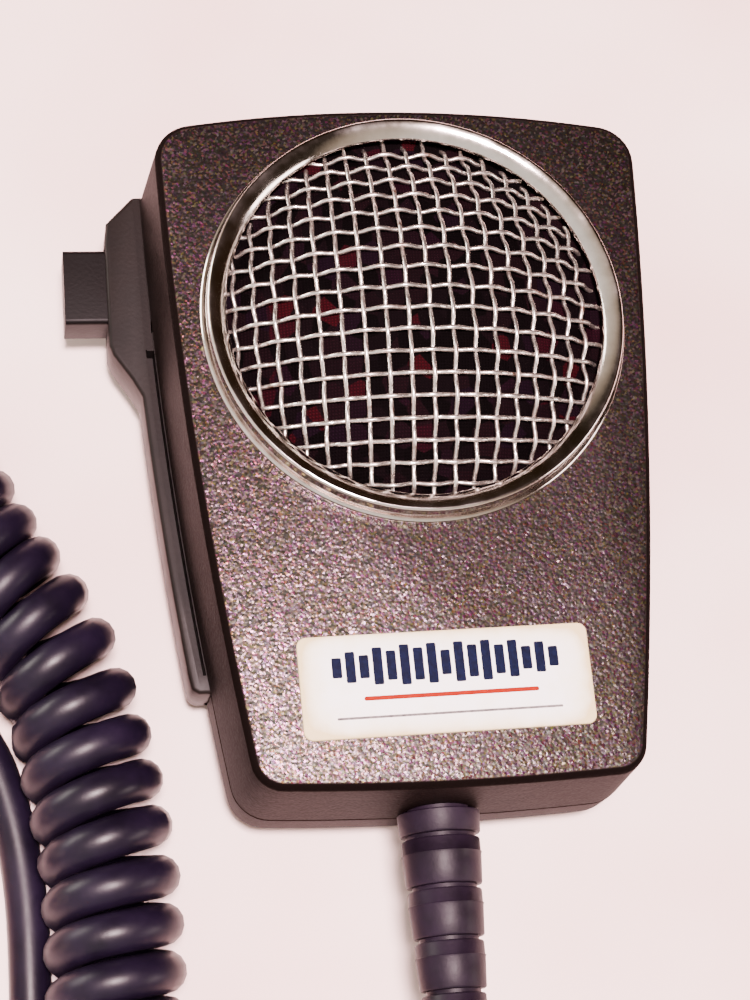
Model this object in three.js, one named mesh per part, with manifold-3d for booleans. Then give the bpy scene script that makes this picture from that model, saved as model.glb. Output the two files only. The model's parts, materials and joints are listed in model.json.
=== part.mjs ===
// Amplified hand microphone with a curly cord, lying on its back, in millimetres, +Z up.
// Until the last lines every place is given from the axis of the round grille (x = y = 0), with
// +Y towards the top of the microphone and z = 0 on the surface that it lies on.
import * as THREE from "three";
import { mergeVertices } from "three/addons/utils/BufferGeometryUtils.js";
import Module from "manifold-3d";

const wasm = await Module();
wasm.setup();

// ---- Driving dimensions -------------------------------------------------------------------

const seatGap = 0.1; // between flat faces that rest on each other
const fitGap = 0.3; // round pieces that sit in, or stand off, each other
const runGap = 0.35; // round a piece that slides or turns
const root = 0.5; // how far a boss runs into the wall that it stands on
const past = 1; // how far a cutting tool runs past the face that it opens

// Case outline, seen from the front
const topY = 30.6;
const bottomY = -62.4;
const topHalfWidth = 33;
const middleHalfWidth = 31.7;
const bottomHalfWidth = 24.4;
const topBow = 2.9; // drop of the top edge from its middle to its corners
const bottomBow = 0.8;
const topCorner = 5;
const bottomCorner = 3.8;

// Case, from back to front
const restHeight = 4.5; // the stud and the battery cover hold the back this far up
const rearDepth = 8.5;
const frontDepth = 16;
const wall = 2;
const flare = 1.4; // how far the walls lean out on their way to the parting line
const edgeRadius = 1.2;
const rearRadius = 2.5;
const screwPadHeight = 2.5; // pads on the rear shell's floor, round the case screws
const screwPadRadius = 4;
const backZ = restHeight;
const floorZ = backZ + wall; // inside face of the rear shell
const partingZ = backZ + rearDepth;
const faceZ = partingZ + frontDepth;
const ceilingZ = faceZ - wall; // inside face of the front shell

// Grille
const ringRadius = 28.6;
const ringHeight = 3.5;
const ringWidth = 3.4;
const domeRadius = 42; // sphere that the wire cloth is pressed to
const meshThickness = 1.1;
const meshRim = 1.1; // how far the rim of the mesh runs in under the ring
const meshSeat = 1.2; // height of that rim over the face
const faceLedge = 0.6; // how far the face runs in past the ring, under the mesh
const screenInset = 2.2; // of the screen's edge from the ring's inner edge
const screenThickness = 0.6;

// Name plate
const plateWidth = 37.6;
const plateHeight = 13.2;
const plateY = bottomY + 13;
const plateThickness = 0.5;
const plateCorner = 1.2;
const plateTurn = 1; // degrees, as it was stuck on

// Push-to-talk button and its bezel
const buttonY = 12.4;
const buttonHeight = 11;
const buttonDepth = 6.3;
const buttonTipX = -45.2;
const buttonTravel = 2.6;
const buttonStep = 7.6; // length of the full section, behind which only the upper part goes on
const blockX = -39.4; // outer face of the bezel's block
const blockTopY = 25.6;
const blockShoulderY = 21.6;
const blockFootY = 3.4;
const blockToeY = -4.2;
const railEndY = -46;
const railProud = 2.4;
const bezelBottomZ = 4.9;
const bezelWall = 2.6; // thickness of the bezel behind the wall's outer face
const bezelWindow = 6.2; // from the block's outer face to the collar behind it
const flangeThickness = 1.3; // collar that keeps the button in
const flangeReach = 1.3; // how far the collar stands out round the button
const flangePlay = 0.5; // room left round the collar and behind it
const plungerRadius = 1.1;
const springRadius = 1.95;
const springWire = 0.5;
const springTurns = 6;
const springWell = 5; // depth of the well in the switch
const switchLength = 12;
const switchWidth = 15.6;
const switchHeight = 8.5;
const terminalSpacing = 5;
const terminalWidth = 2;
const terminalHeight = 4.5;
const terminalThickness = 0.5;

// Microphone element
const canRadius = 11.8;
const canHeight = 7;
const canZ = 14;
const cradleWall = 2.2;
const cradleSeat = 1; // thickness of the ledge that the can stands on
const cradleInset = 1.6; // how far that ledge runs in under the can
const cradleRim = 1.6; // how far the cradle stands up past the can
const contactX = 4;
const gaugeThickness = 0.4; // of the contacts' sheet brass

// Battery and its cover
const batteryRadius = 7.75;
const batteryLength = 33;
const batteryY = bottomY + 17;
const nubLength = 1.5;
const nubRadius = 2.4;
const contactThickness = 0.5;
const contactHalfWidth = 3;
const contactGap = 0.5; // from the cell's end to its contact
const coverHalfWidth = 22;
const coverHeight = 18.8;
const coverWall = 1.6;
const coverCorner = 3;
const coverScrewX = 19.8;
const coverScrewRadius = 0.75;
const coverScrewHead = 1.7;

// Gain control
const wheelRadius = 10;
const wheelThickness = 3.4;
const wheelX = 12;
const wheelY = -24;
const wheelProud = 1.3; // how far its edge stands out of the back
const wheelZ = backZ - wheelProud + wheelRadius;
const controlRadius = 6;
const controlLength = 7;
const shaftRadius = 1.5;
const shaftLength = 4.5;
const notchRadius = 0.5;
const notchCount = 20;

// Circuit board
const boardWidth = 31;
const boardHeight = 22;
const boardY = bottomY + 4.4 + boardHeight / 2;
const boardThickness = 1.6;
const boardTopZ = 22.1;
const boardPostX = 12.6;
const boardPostY = boardY + boardHeight / 2 - 2.4;
const boardPostRadius = 2;
const boardScrewRadius = 0.65;
const boardScrewHead = 1.7;

// Fasteners
const caseScrewRadius = 1.4;
const caseScrewHead = 2.4;
const caseScrewLength = 13;
const caseBossRadius = 2.6;
const topScrewX = 23;
const topScrewY = topY - 6;
const bottomScrewX = 18.8;
const bottomScrewY = bottomY + 3.8;
const caseScrewPlaces = [
  [topScrewX, topScrewY],
  [-topScrewX, topScrewY],
  [bottomScrewX, bottomScrewY],
  [-bottomScrewX, bottomScrewY],
];
const studY = 12;
const studRadius = 6.5;
const studThickness = 2;
const studNeck = 3.5;
const studScrewRadius = 1.25;
const studScrewHead = 2.5;

// Cord and plug
const cordExitZ = 16;
const cordRadius = 2.75;
const coilRadius = 9.1;
const stubLength = 2.6; // of the jacket inside the case
const clampWall = 0.8;
const clampLength = 1.8;
const conductorRadius = 0.45;
const conductorSpacing = 1.3;
const reliefLength = 36;
const reliefRadius = 5.4;
const reliefTipRadius = 3.6;
const reliefNeck = 4;
const reliefRings = 5;
const reliefGroove = 0.7;
const reliefCollar = 1; // how far the collar inside the case stands out from the neck
const reliefCollarLength = 1.6;
const plugAxis = [-81.7, 9.6]; // x and z of the plug, which lies along Y
const plugRearY = -54.6;
const plugShellLength = 25;
const plugShellRadius = 7.8;
const plugRingRadius = 9.4;
const plugRingLength = 13;
const plugRingWall = 1.2;
const plugWall = 1;
const plugSleeve = 2; // wall of the sleeve round the cord
const socketCircle = 3.4;
const socketRadius = 0.9;

// Routes of the cord, chosen by hand, from the tip of the strain relief to the plug
const leadRoute = [
  [0, -100.2, 16],
  [0, -105, 15.6],
  [-0.5, -110, 13.8],
  [-2.2, -115.6, 10.8],
  [-5.4, -121, 7.3],
  [-10.6, -125.8, 4.4],
  [-17.4, -128.9, 3.1],
  [-25, -128.9, 2.85],
  [-32, -125.7, 2.85],
  [-37.4, -120, 2.85],
  [-40.7, -113, 2.85],
  [-42, -106.5, 2.85],
  [-42.1, -101.6, 2.85],
];
const coilRoute = [
  [-42.1, -101.2, 9.3],
  [-42.1, -92, 9.3],
  [-42.1, -83, 9.3],
  [-42.1, -74, 9.3],
  [-42.5, -66, 9.3],
  [-43.7, -58, 9.3],
  [-45.3, -50, 9.3],
  [-47.6, -42.2, 9.3],
  [-51.4, -34.6, 9.3],
  [-56.2, -27.4, 9.3],
  [-60.8, -19.6, 9.3],
  [-64.8, -11, 9.3],
  [-69.4, -2.6, 9.3],
  [-76, 4.4, 9.3],
  [-84.8, 8, 9.3],
  [-94, 6.6, 9.3],
  [-101.4, 0.6, 9.3],
  [-105.6, -8, 9.3],
  [-107.2, -18, 9.3],
  [-107.5, -30, 9.3],
  [-107.5, -45, 9.3],
  [-107.5, -60, 9.3],
  [-107.5, -75, 9.3],
  [-107.5, -90, 9.3],
];
const tailRoute = [
  [-107.5, -90.4, 2.85],
  [-107.4, -97, 2.85],
  [-106, -104.5, 2.85],
  [-101.6, -111.5, 2.85],
  [-94.6, -116, 2.85],
  [-86, -117.8, 2.85],
  [-77, -117.2, 2.85],
  [-68.4, -113.6, 2.85],
  [-60.8, -107.2, 2.85],
  [-55.4, -98.6, 2.85],
  [-53.1, -89, 2.85],
  [-52.7, -79, 2.85],
  [-53, -69, 2.85],
  [-54.3, -60, 2.85],
  [-56.8, -51.6, 2.85],
  [-61.2, -44.4, 2.85],
  [-67.6, -39.6, 3],
  [-74.4, -38.9, 4.2],
  [-79.4, -42.6, 6.6],
  [-81.4, -48.4, 8.8],
  [-81.7, -54.3, 9.6],
];

// ---- Geometry helpers ---------------------------------------------------------------------

function toSolid(geometry) {
  const bare = geometry.clone();
  bare.deleteAttribute("normal");
  bare.deleteAttribute("uv");
  const merged = mergeVertices(bare, 1e-4);
  return new wasm.Manifold(
    new wasm.Mesh({
      numProp: 3,
      vertProperties: merged.attributes.position.array,
      triVerts: new Uint32Array(merged.index.array),
    }),
  );
}

function toGeometry(solid) {
  const mesh = solid.getMesh();
  const geometry = new THREE.BufferGeometry();
  geometry.setAttribute("position", new THREE.BufferAttribute(new Float32Array(mesh.vertProperties), 3));
  geometry.setIndex(new THREE.BufferAttribute(new Uint32Array(mesh.triVerts), 1));
  const flat = geometry.toNonIndexed();
  flat.computeVertexNormals();
  return flat;
}

function join(...geometries) {
  return toGeometry(geometries.map(toSolid).reduce((whole, piece) => whole.add(piece)));
}

function cut(geometry, ...tools) {
  return toGeometry(tools.map(toSolid).reduce((left, tool) => left.subtract(tool), toSolid(geometry)));
}

function common(geometry, other) {
  return toGeometry(toSolid(geometry).intersect(toSolid(other)));
}

// A block between two corners.
function block(low, high) {
  const size = high.map((value, i) => value - low[i]);
  const middle = high.map((value, i) => (value + low[i]) / 2);
  return new THREE.BoxGeometry(...size).translate(...middle);
}

// A round bar from a point, along X, Y or Z.
function bar(axis, start, length, radius, sides = 20) {
  const geometry = new THREE.CylinderGeometry(radius, radius, length, sides);
  geometry.translate(0, length / 2, 0);
  if (axis === "x") geometry.rotateZ(-Math.PI / 2);
  if (axis === "z") geometry.rotateX(Math.PI / 2);
  return geometry.translate(...start);
}

// A turned piece about Z: its profile is radius and height pairs, going round anticlockwise.
function turned(profile, sides = 32) {
  const points = profile.map(([radius, height]) => new THREE.Vector2(radius, height));
  return new THREE.LatheGeometry(points, sides).rotateX(Math.PI / 2);
}

function outlineShape(points) {
  return new THREE.Shape(points.map(([x, y]) => new THREE.Vector2(x, y)));
}

function plate(shape, lowZ, highZ) {
  const settings = { depth: highZ - lowZ, bevelEnabled: false, curveSegments: 6 };
  return new THREE.ExtrudeGeometry(shape, settings).translate(0, 0, lowZ);
}

// A rectangle with round corners, centred on the origin.
function roundedRectangle(width, height, corner) {
  const shape = new THREE.Shape();
  const x = width / 2 - corner;
  const y = height / 2 - corner;
  shape.absarc(x, y, corner, 0, Math.PI / 2);
  shape.absarc(-x, y, corner, Math.PI / 2, Math.PI);
  shape.absarc(-x, -y, corner, Math.PI, 1.5 * Math.PI);
  shape.absarc(x, -y, corner, 1.5 * Math.PI, 2 * Math.PI);
  return shape;
}

// A tube of round section along a smooth curve through the points.
function tube(points, radius, sides, steps) {
  const places = points.map((point) => new THREE.Vector3(...point));
  const route = new THREE.CatmullRomCurve3(places, false, "centripetal");
  return tubeAlong(route, radius, sides, steps);
}

function tubeAlong(route, radius, sides, steps) {
  const section = [];
  for (let i = 0; i < sides; i++) {
    const angle = (2 * Math.PI * i) / sides;
    section.push([radius * Math.cos(angle), radius * Math.sin(angle)]);
  }
  const settings = { extrudePath: route, steps, bevelEnabled: false };
  return new THREE.ExtrudeGeometry(outlineShape(section), settings);
}

// A closed skin over outlines of equal count, one above the other.
function loft(levels) {
  const count = levels[0].points.length;
  const positions = levels.flatMap(({ points, z }) => points.flatMap((point) => [point.x, point.y, z]));
  const index = [];
  for (let level = 0; level + 1 < levels.length; level++) {
    for (let i = 0; i < count; i++) {
      const low = level * count + i;
      const lowNext = level * count + ((i + 1) % count);
      index.push(low, lowNext, lowNext + count, low, lowNext + count, low + count);
    }
  }
  const top = (levels.length - 1) * count;
  const cap = THREE.ShapeUtils.triangulateShape(levels[0].points, []);
  cap.forEach(([a, b, c]) => index.push(c, b, a, top + a, top + b, top + c));
  const geometry = new THREE.BufferGeometry();
  geometry.setAttribute("position", new THREE.Float32BufferAttribute(positions, 3));
  geometry.setIndex(index);
  return geometry;
}

// ---- Case outline -------------------------------------------------------------------------

// Half the width of the case at a height y: a parabola through the three stated widths.
function halfWidth(y) {
  const top = (topHalfWidth * y * (y - bottomY)) / (topY * (topY - bottomY));
  const middle = (middleHalfWidth * (y - topY) * (y - bottomY)) / (topY * bottomY);
  const bottom = (bottomHalfWidth * y * (y - topY)) / (bottomY * (bottomY - topY));
  return top + middle + bottom;
}

function halfWidthSlope(y) {
  const step = 0.01;
  return (halfWidth(y + step) - halfWidth(y - step)) / (2 * step);
}

// The bowed top (end = 1) or bottom (end = -1) edge.
function endHeight(end, x) {
  return end > 0 ? topY - topBow * (x / topHalfWidth) ** 2 : bottomY + bottomBow * (x / bottomHalfWidth) ** 2;
}

function endSlope(end, x) {
  return end > 0 ? (-2 * topBow * x) / topHalfWidth ** 2 : (2 * bottomBow * x) / bottomHalfWidth ** 2;
}

// The centre of a corner's arc, and the angles at which it meets the side and the end.
function caseCorner(end) {
  const radius = end > 0 ? topCorner : bottomCorner;
  let x = (end > 0 ? topHalfWidth : bottomHalfWidth) - radius;
  let y = endHeight(end, x) - end * radius;
  for (let pass = 0; pass < 20; pass++) {
    x = halfWidth(y) - radius * Math.hypot(1, halfWidthSlope(y));
    y = endHeight(end, x) - end * radius * Math.hypot(1, endSlope(end, x));
  }
  const sideAngle = Math.atan2(-halfWidthSlope(y), 1);
  const endAngle = Math.atan2(end, -end * endSlope(end, x));
  return { x, y, radius, sideAngle, endAngle };
}

// The outline, anticlockwise, moved outwards by an offset.
function caseOutline(offset) {
  const right = [];
  const add = (x, y, normalX, normalY) => {
    const length = Math.hypot(normalX, normalY);
    right.push(new THREE.Vector2(x + (offset * normalX) / length, y + (offset * normalY) / length));
  };
  const low = caseCorner(-1);
  const high = caseCorner(1);
  const arc = (corner, from, to) => {
    const steps = 3;
    for (let i = 0; i <= steps; i++) {
      const angle = from + ((to - from) * i) / steps;
      const [c, s] = [Math.cos(angle), Math.sin(angle)];
      add(corner.x + corner.radius * c, corner.y + corner.radius * s, c, s);
    }
  };
  const edge = (end, from, to, first, last, steps) => {
    for (let i = first; i < last; i++) {
      const x = from + ((to - from) * i) / steps;
      add(x, endHeight(end, x), -end * endSlope(end, x), end);
    }
  };
  const lowX = low.x + low.radius * Math.cos(low.endAngle);
  const highX = high.x + high.radius * Math.cos(high.endAngle);
  const lowY = low.y + low.radius * Math.sin(low.sideAngle);
  const highY = high.y + high.radius * Math.sin(high.sideAngle);
  edge(-1, 0, lowX, 0, 3, 3);
  arc(low, low.endAngle, low.sideAngle);
  for (let i = 1; i < 9; i++) {
    const y = lowY + ((highY - lowY) * i) / 9;
    add(halfWidth(y), y, 1, -halfWidthSlope(y));
  }
  arc(high, high.sideAngle, high.endAngle);
  edge(1, highX, 0, 1, 6, 5);
  const left = right.slice(1, -1).map((point) => new THREE.Vector2(-point.x, point.y));
  return [...right, ...left.reverse()];
}

function caseLoft(stations) {
  return loft(stations.map(([offset, z]) => ({ points: caseOutline(offset), z })));
}

// The outside of the rear half, grown all round by a margin.
function rearOutside(margin) {
  const full = flare + margin;
  return caseLoft([
    [full - rearRadius, backZ - margin],
    [full - 0.6 * rearRadius, backZ - margin + 0.2 * rearRadius],
    [full - 0.2 * rearRadius, backZ - margin + 0.6 * rearRadius],
    [full, backZ - margin + rearRadius],
    [full, partingZ - seatGap],
  ]);
}

// ---- Finishes -----------------------------------------------------------------------------

const finishes = {
  pebbledPaint: { color: "#4b4844", roughness: 0.5, metalness: 0.45 },
  chrome: { color: "#c9ccce", roughness: 0.15, metalness: 1 },
  cloth: { color: "#1a1110", roughness: 0.95, metalness: 0 },
  plateEnamel: { color: "#f1ebd2", roughness: 0.4, metalness: 0 },
  blackPlastic: { color: "#2b282b", roughness: 0.5, metalness: 0 },
  blackRubber: { color: "#171518", roughness: 0.6, metalness: 0 },
  cordJacket: { color: "#1d1a26", roughness: 0.5, metalness: 0 },
  zinc: { color: "#a9abab", roughness: 0.35, metalness: 1 },
  brass: { color: "#b5924a", roughness: 0.35, metalness: 1 },
  boardLaminate: { color: "#a98a4c", roughness: 0.6, metalness: 0 },
  partPlastic: { color: "#5a3a26", roughness: 0.5, metalness: 0 },
  batterySleeve: { color: "#30507c", roughness: 0.45, metalness: 0.1 },
  wireJacket: { color: "#b23a2c", roughness: 0.5, metalness: 0 },
};

const microphone = new THREE.Group();

function piece(name, finish, geometry, group = microphone) {
  const mesh = new THREE.Mesh(geometry, new THREE.MeshStandardMaterial(finishes[finish]));
  mesh.name = name;
  group.add(mesh);
  return mesh;
}

// ---- Case ---------------------------------------------------------------------------------

const grilleOpening = ringRadius - ringWidth - faceLedge;
const boardPosts = [-boardPostX, boardPostX].map((x) => [x, boardPostY]);
const rearPadTop = floorZ + screwPadHeight;

// Round hole for the neck of the strain relief, through both halves.
function reliefHole() {
  return bar("y", [0, bottomY - 6, cordExitZ], 12, reliefNeck + fitGap, 24);
}

// The body of the bezel, between the case's side wall and its own outer outline.
function bezelOutline(inset, grow) {
  const points = [];
  const rows = 10;
  const rowY = (i) => blockToeY + ((railEndY - blockToeY) * i) / rows;
  const sideX = (y) => -(halfWidth(y) + flare);
  points.push([sideX(blockTopY) + inset, blockTopY + grow]);
  points.push([sideX(blockTopY) - 1 - grow, blockTopY + grow]);
  points.push([blockX + 0.3 - grow, blockShoulderY + grow]);
  points.push([blockX - grow, blockShoulderY - 3]);
  points.push([blockX - grow, blockFootY]);
  points.push([blockX + 0.5 - grow, blockFootY - 1.5]);
  points.push([blockX + 1.5 - grow, blockFootY - 3]);
  points.push([blockX + 2.9 - grow, (blockFootY + blockToeY) / 2 - 1.3]);
  for (let i = 0; i < rows; i++) points.push([sideX(rowY(i)) - railProud - grow, rowY(i)]);
  points.push([sideX(railEndY) - railProud - grow, railEndY + 0.6]);
  points.push([sideX(railEndY) - 0.6 * railProud - grow, railEndY - grow]);
  points.push([sideX(railEndY) + inset, railEndY - grow]);
  for (let i = rows - 1; i >= 0; i--) points.push([sideX(rowY(i)) + inset, rowY(i)]);
  points.push([sideX(buttonY) + inset, buttonY]);
  return outlineShape(points);
}

function addFrontShell() {
  const outside = caseLoft([
    [flare, partingZ],
    [edgeRadius * 0.3, faceZ - edgeRadius],
    [-edgeRadius * 0.2, faceZ - 0.15 * edgeRadius],
    [-edgeRadius * 0.7, faceZ],
  ]);
  const inside = caseLoft([
    [flare - wall, partingZ - past],
    [edgeRadius * 0.3 - wall, ceilingZ],
  ]);
  const bosses = caseScrewPlaces.map(([x, y]) =>
    bar("z", [x, y, rearPadTop + seatGap], ceilingZ + root - rearPadTop, caseBossRadius, 20),
  );
  const posts = boardPosts.map(([x, y]) =>
    bar("z", [x, y, boardTopZ + seatGap], ceilingZ + root - boardTopZ, boardPostRadius, 16),
  );
  const screwHoles = caseScrewPlaces.map(([x, y]) =>
    bar("z", [x, y, backZ], caseScrewLength + 2, caseScrewRadius + fitGap / 2, 16),
  );
  const wheelRoom = bar(
    "x",
    [wheelX - wheelThickness / 2 - runGap, wheelY, wheelZ],
    wheelThickness + 2 * runGap,
    wheelRadius + runGap,
    40,
  );
  const postHoles = boardPosts.map(([x, y]) =>
    bar("z", [x, y, boardTopZ - past], past + 3.4, boardScrewRadius + fitGap / 2, 12),
  );
  const opening = bar("z", [0, 0, ceilingZ - past], wall + 3 * past, grilleOpening, 32);
  const shell = join(cut(outside, inside), ...bosses, ...posts);
  const holes = [opening, wheelRoom, ...screwHoles, ...postHoles, reliefHole()];
  piece("front_shell", "pebbledPaint", cut(shell, ...holes));
}

function addRearShell() {
  const inside = caseLoft([
    [flare - wall - 1, floorZ],
    [flare - wall, floorZ + 1],
    [flare - wall, partingZ + past],
  ]);
  const rootZ = floorZ - root;
  const padHeight = rearPadTop - rootZ;
  const pads = caseScrewPlaces.map(([x, y]) => bar("z", [x, y, rootZ], padHeight, screwPadRadius, 20));
  const bossLength = 4;
  const coverBosses = [-coverScrewX, coverScrewX].map((x) =>
    bar("z", [x, batteryY, rootZ], bossLength, 2.2, 16),
  );
  const studBoss = bar("z", [0, studY, rootZ], bossLength, 3, 20);

  // A wall round the element's rubber cradle, and inside it the seat that the cradle stands on.
  const socket = canRadius + fitGap + cradleWall + fitGap;
  const socketWall = 1.2;
  const socketTop = canZ + 3;
  const seatTop = canZ - seatGap - cradleSeat - seatGap;
  const socketSeat = 2.4;
  const cradleSocket = turned([
    [socket - socketSeat, rootZ],
    [socket + socketWall, rootZ],
    [socket + socketWall, socketTop],
    [socket, socketTop],
    [socket, seatTop],
    [socket - socketSeat, seatTop],
    [socket - socketSeat, rootZ],
  ]);
  const insideWalls = caseLoft([
    [0, rootZ],
    [0, socketTop + past],
  ]);
  const hollow = cut(rearOutside(0), inside);
  const shell = join(hollow, common(cradleSocket, insideWalls), studBoss, ...pads, ...coverBosses);

  const below = backZ - past;
  const headDepth = 1.8;
  const screwHoles = caseScrewPlaces.flatMap(([x, y]) => [
    bar("z", [x, y, below], past + wall + screwPadHeight + past, caseScrewRadius + fitGap, 16),
    bar("z", [x, y, below], past + headDepth, caseScrewHead + fitGap, 20),
  ]);
  const coverHoles = [-coverScrewX, coverScrewX].map((x) =>
    bar("z", [x, batteryY, below], past + bossLength, coverScrewRadius + fitGap / 2, 12),
  );
  const studHole = bar("z", [0, studY, below], wall + bossLength + past, studScrewRadius + fitGap, 16);
  const hatchX = batteryLength / 2 + contactGap + contactThickness + 2 * fitGap;
  const hatchY = batteryRadius + 0.8;
  const hatch = block([-hatchX, batteryY - hatchY, below], [hatchX, batteryY + hatchY, floorZ + past]);
  const slotY = Math.sqrt(wheelRadius ** 2 - (wheelZ - floorZ) ** 2) + 0.8;
  const slotX = wheelThickness / 2 + 0.5;
  const slot = block(
    [wheelX - slotX, wheelY - slotY, below],
    [wheelX + slotX, wheelY + slotY, floorZ + past],
  );
  const bezelBed = plate(bezelOutline(bezelWall + 4, fitGap), floorZ + fitGap, partingZ + past);
  const openings = [...screwHoles, ...coverHoles, studHole, hatch, slot, bezelBed, reliefHole()];
  piece("rear_shell", "pebbledPaint", cut(shell, ...openings));
}

// ---- Grille -------------------------------------------------------------------------------

function addGrille() {
  const outer = ringRadius;
  const inner = ringRadius - ringWidth;
  const base = faceZ + seatGap;
  const top = faceZ + ringHeight;
  piece(
    "grille_ring",
    "chrome",
    turned([
      [inner + meshRim, base],
      [outer, base], // the foot's bead
      [outer, base + 0.7],
      [outer - 0.4, base + 1.1],
      [outer - 0.8, base + 1.1],
      [outer - 1.1, base + 0.7], // the groove
      [outer - 1.5, base + 0.7],
      [outer - 1.7, base + 1.3], // the rounded band
      [outer - 1.9, top - 0.9],
      [outer - 2.3, top - 0.2],
      [outer - 2.8, top],
      [inner + 0.1, top - 0.3],
      [inner, top - 1], // the lip over the mesh
      [inner + 0.1, top - 1.4],
      [inner + meshRim, top - 1.6],
      [inner + meshRim, base],
    ]),
  );
  const rimZ = faceZ + meshSeat + 0.2;
  const rimRadius = inner + meshRim - fitGap;
  const edgeRise = Math.sqrt(domeRadius ** 2 - (inner - 0.4) ** 2);
  const arc = (radius, from, to, steps) => {
    const points = [];
    for (let i = 0; i <= steps; i++) {
      const reach = from + ((to - from) * i) / steps;
      points.push([reach, rimZ + Math.sqrt(radius ** 2 - reach ** 2) - edgeRise]);
    }
    return points;
  };
  const innerSphere = domeRadius - meshThickness;
  piece(
    "grille_mesh",
    "chrome",
    turned([
      ...arc(innerSphere, 0, inner - 1.4, 4),
      [inner - 1.2, faceZ + seatGap],
      [rimRadius, faceZ + seatGap],
      [rimRadius, faceZ + meshSeat],
      ...arc(domeRadius, inner - 0.4, 0, 5),
    ]),
  );
  const screenSphere = innerSphere - fitGap;
  const screenReach = inner - screenInset;
  piece(
    "dust_screen",
    "cloth",
    turned(
      [
        ...arc(screenSphere - screenThickness, 0, screenReach, 3),
        ...arc(screenSphere, screenReach, 0, 3),
      ],
      32,
    ),
  );
}

function addNamePlate() {
  const body = plate(roundedRectangle(plateWidth, plateHeight, plateCorner), 0, plateThickness);
  const mesh = piece("name_plate", "plateEnamel", body);
  mesh.position.set(0, plateY, faceZ + seatGap);
  mesh.rotation.z = THREE.MathUtils.degToRad(plateTurn);
}

// ---- Switch, button and bezel -------------------------------------------------------------

const bezelTopZ = partingZ - 0.15;
const buttonMiddleZ = (bezelTopZ + bezelBottomZ) / 2;
const flangeX = blockX + bezelWindow; // outer face of the button's collar, inside the bezel
const switchX = flangeX + flangeThickness + buttonTravel + flangePlay;
const stepX = buttonTipX + buttonStep;
const shankZ = floorZ + 2 * runGap; // underside of the button's inner part, over the floor

function addBezel() {
  const body = plate(bezelOutline(bezelWall, 0), bezelBottomZ, bezelTopZ);
  const ledge = common(rearOutside(fitGap), block([-60, -90, 0], [0, 60, floorZ + 2 * fitGap]));
  const openX = blockX - past;
  const sideGap = buttonHeight / 2 + runGap;
  const lowZ = buttonMiddleZ - buttonDepth / 2 - runGap;
  const highZ = buttonMiddleZ + buttonDepth / 2 + runGap;
  const window = block(
    [openX, buttonY - sideGap, lowZ],
    [stepX + buttonTravel + runGap, buttonY + sideGap, highZ],
  );
  const passage = block([openX, buttonY - sideGap, shankZ - runGap], [0, buttonY + sideGap, highZ]);
  const roomY = buttonHeight / 2 + flangeReach + flangePlay;
  const collarRoom = block(
    [flangeX - runGap, buttonY - roomY, floorZ],
    [0, buttonY + roomY, partingZ],
  );
  piece("switch_bezel", "blackPlastic", cut(body, ledge, window, passage, collarRoom));
}

function addButton() {
  const half = buttonHeight / 2;
  const reach = buttonDepth / 2;
  const face = roundedRectangle(buttonHeight, buttonDepth, 0.7);
  const cap = plate(face, 0, flangeX + flangeThickness - buttonTipX);
  cap.rotateX(Math.PI / 2).rotateZ(Math.PI / 2);
  cap.translate(buttonTipX, buttonY, buttonMiddleZ);
  const relief = block([stepX, buttonY - half - past, 0], [0, buttonY + half + past, shankZ]);
  const collar = block(
    [flangeX, buttonY - half - flangeReach, shankZ],
    [flangeX + flangeThickness, buttonY + half + flangeReach, buttonMiddleZ + reach - 0.4],
  );
  piece("ptt_button", "blackPlastic", join(cut(cap, relief), collar));
  const pinStart = flangeX + flangeThickness + seatGap;
  const pinLength = springWell + 1.5;
  piece("ptt_plunger", "zinc", bar("x", [pinStart, buttonY, buttonMiddleZ], pinLength, plungerRadius, 12));

  const springStart = pinStart + springWire;
  const springEnd = switchX + springWell - 2 * springWire;
  const coilLine = new THREE.Curve();
  coilLine.getPoint = (t, target = new THREE.Vector3()) => {
    const angle = 2 * Math.PI * springTurns * t;
    return target.set(
      springStart + (springEnd - springStart) * t,
      buttonY + springRadius * Math.cos(angle),
      buttonMiddleZ + springRadius * Math.sin(angle),
    );
  };
  piece("ptt_spring", "zinc", tubeAlong(coilLine, springWire / 2, 4, 48));
}

function addSwitch() {
  const low = [switchX, buttonY - switchWidth / 2, floorZ + seatGap];
  const high = [switchX + switchLength, buttonY + switchWidth / 2, floorZ + switchHeight];
  const mouth = [switchX - past, buttonY, buttonMiddleZ];
  const well = bar("x", mouth, past + springWell, springRadius + springWire, 20);
  const bore = bar("x", mouth, switchLength - past, plungerRadius + runGap, 12);
  piece("switch_body", "partPlastic", cut(block(low, high), well, bore));
  const bladeX = switchX + switchLength / 3;
  const bladeZ = high[2] + seatGap;
  [-1, 0, 1].forEach((place, i) => {
    const y = buttonY + place * terminalSpacing;
    const blade = block(
      [bladeX, y - terminalWidth / 2, bladeZ],
      [bladeX + terminalThickness, y + terminalWidth / 2, bladeZ + terminalHeight],
    );
    piece(`switch_terminal_${i + 1}`, "brass", blade);
  });
}

// ---- Microphone element -------------------------------------------------------------------

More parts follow.
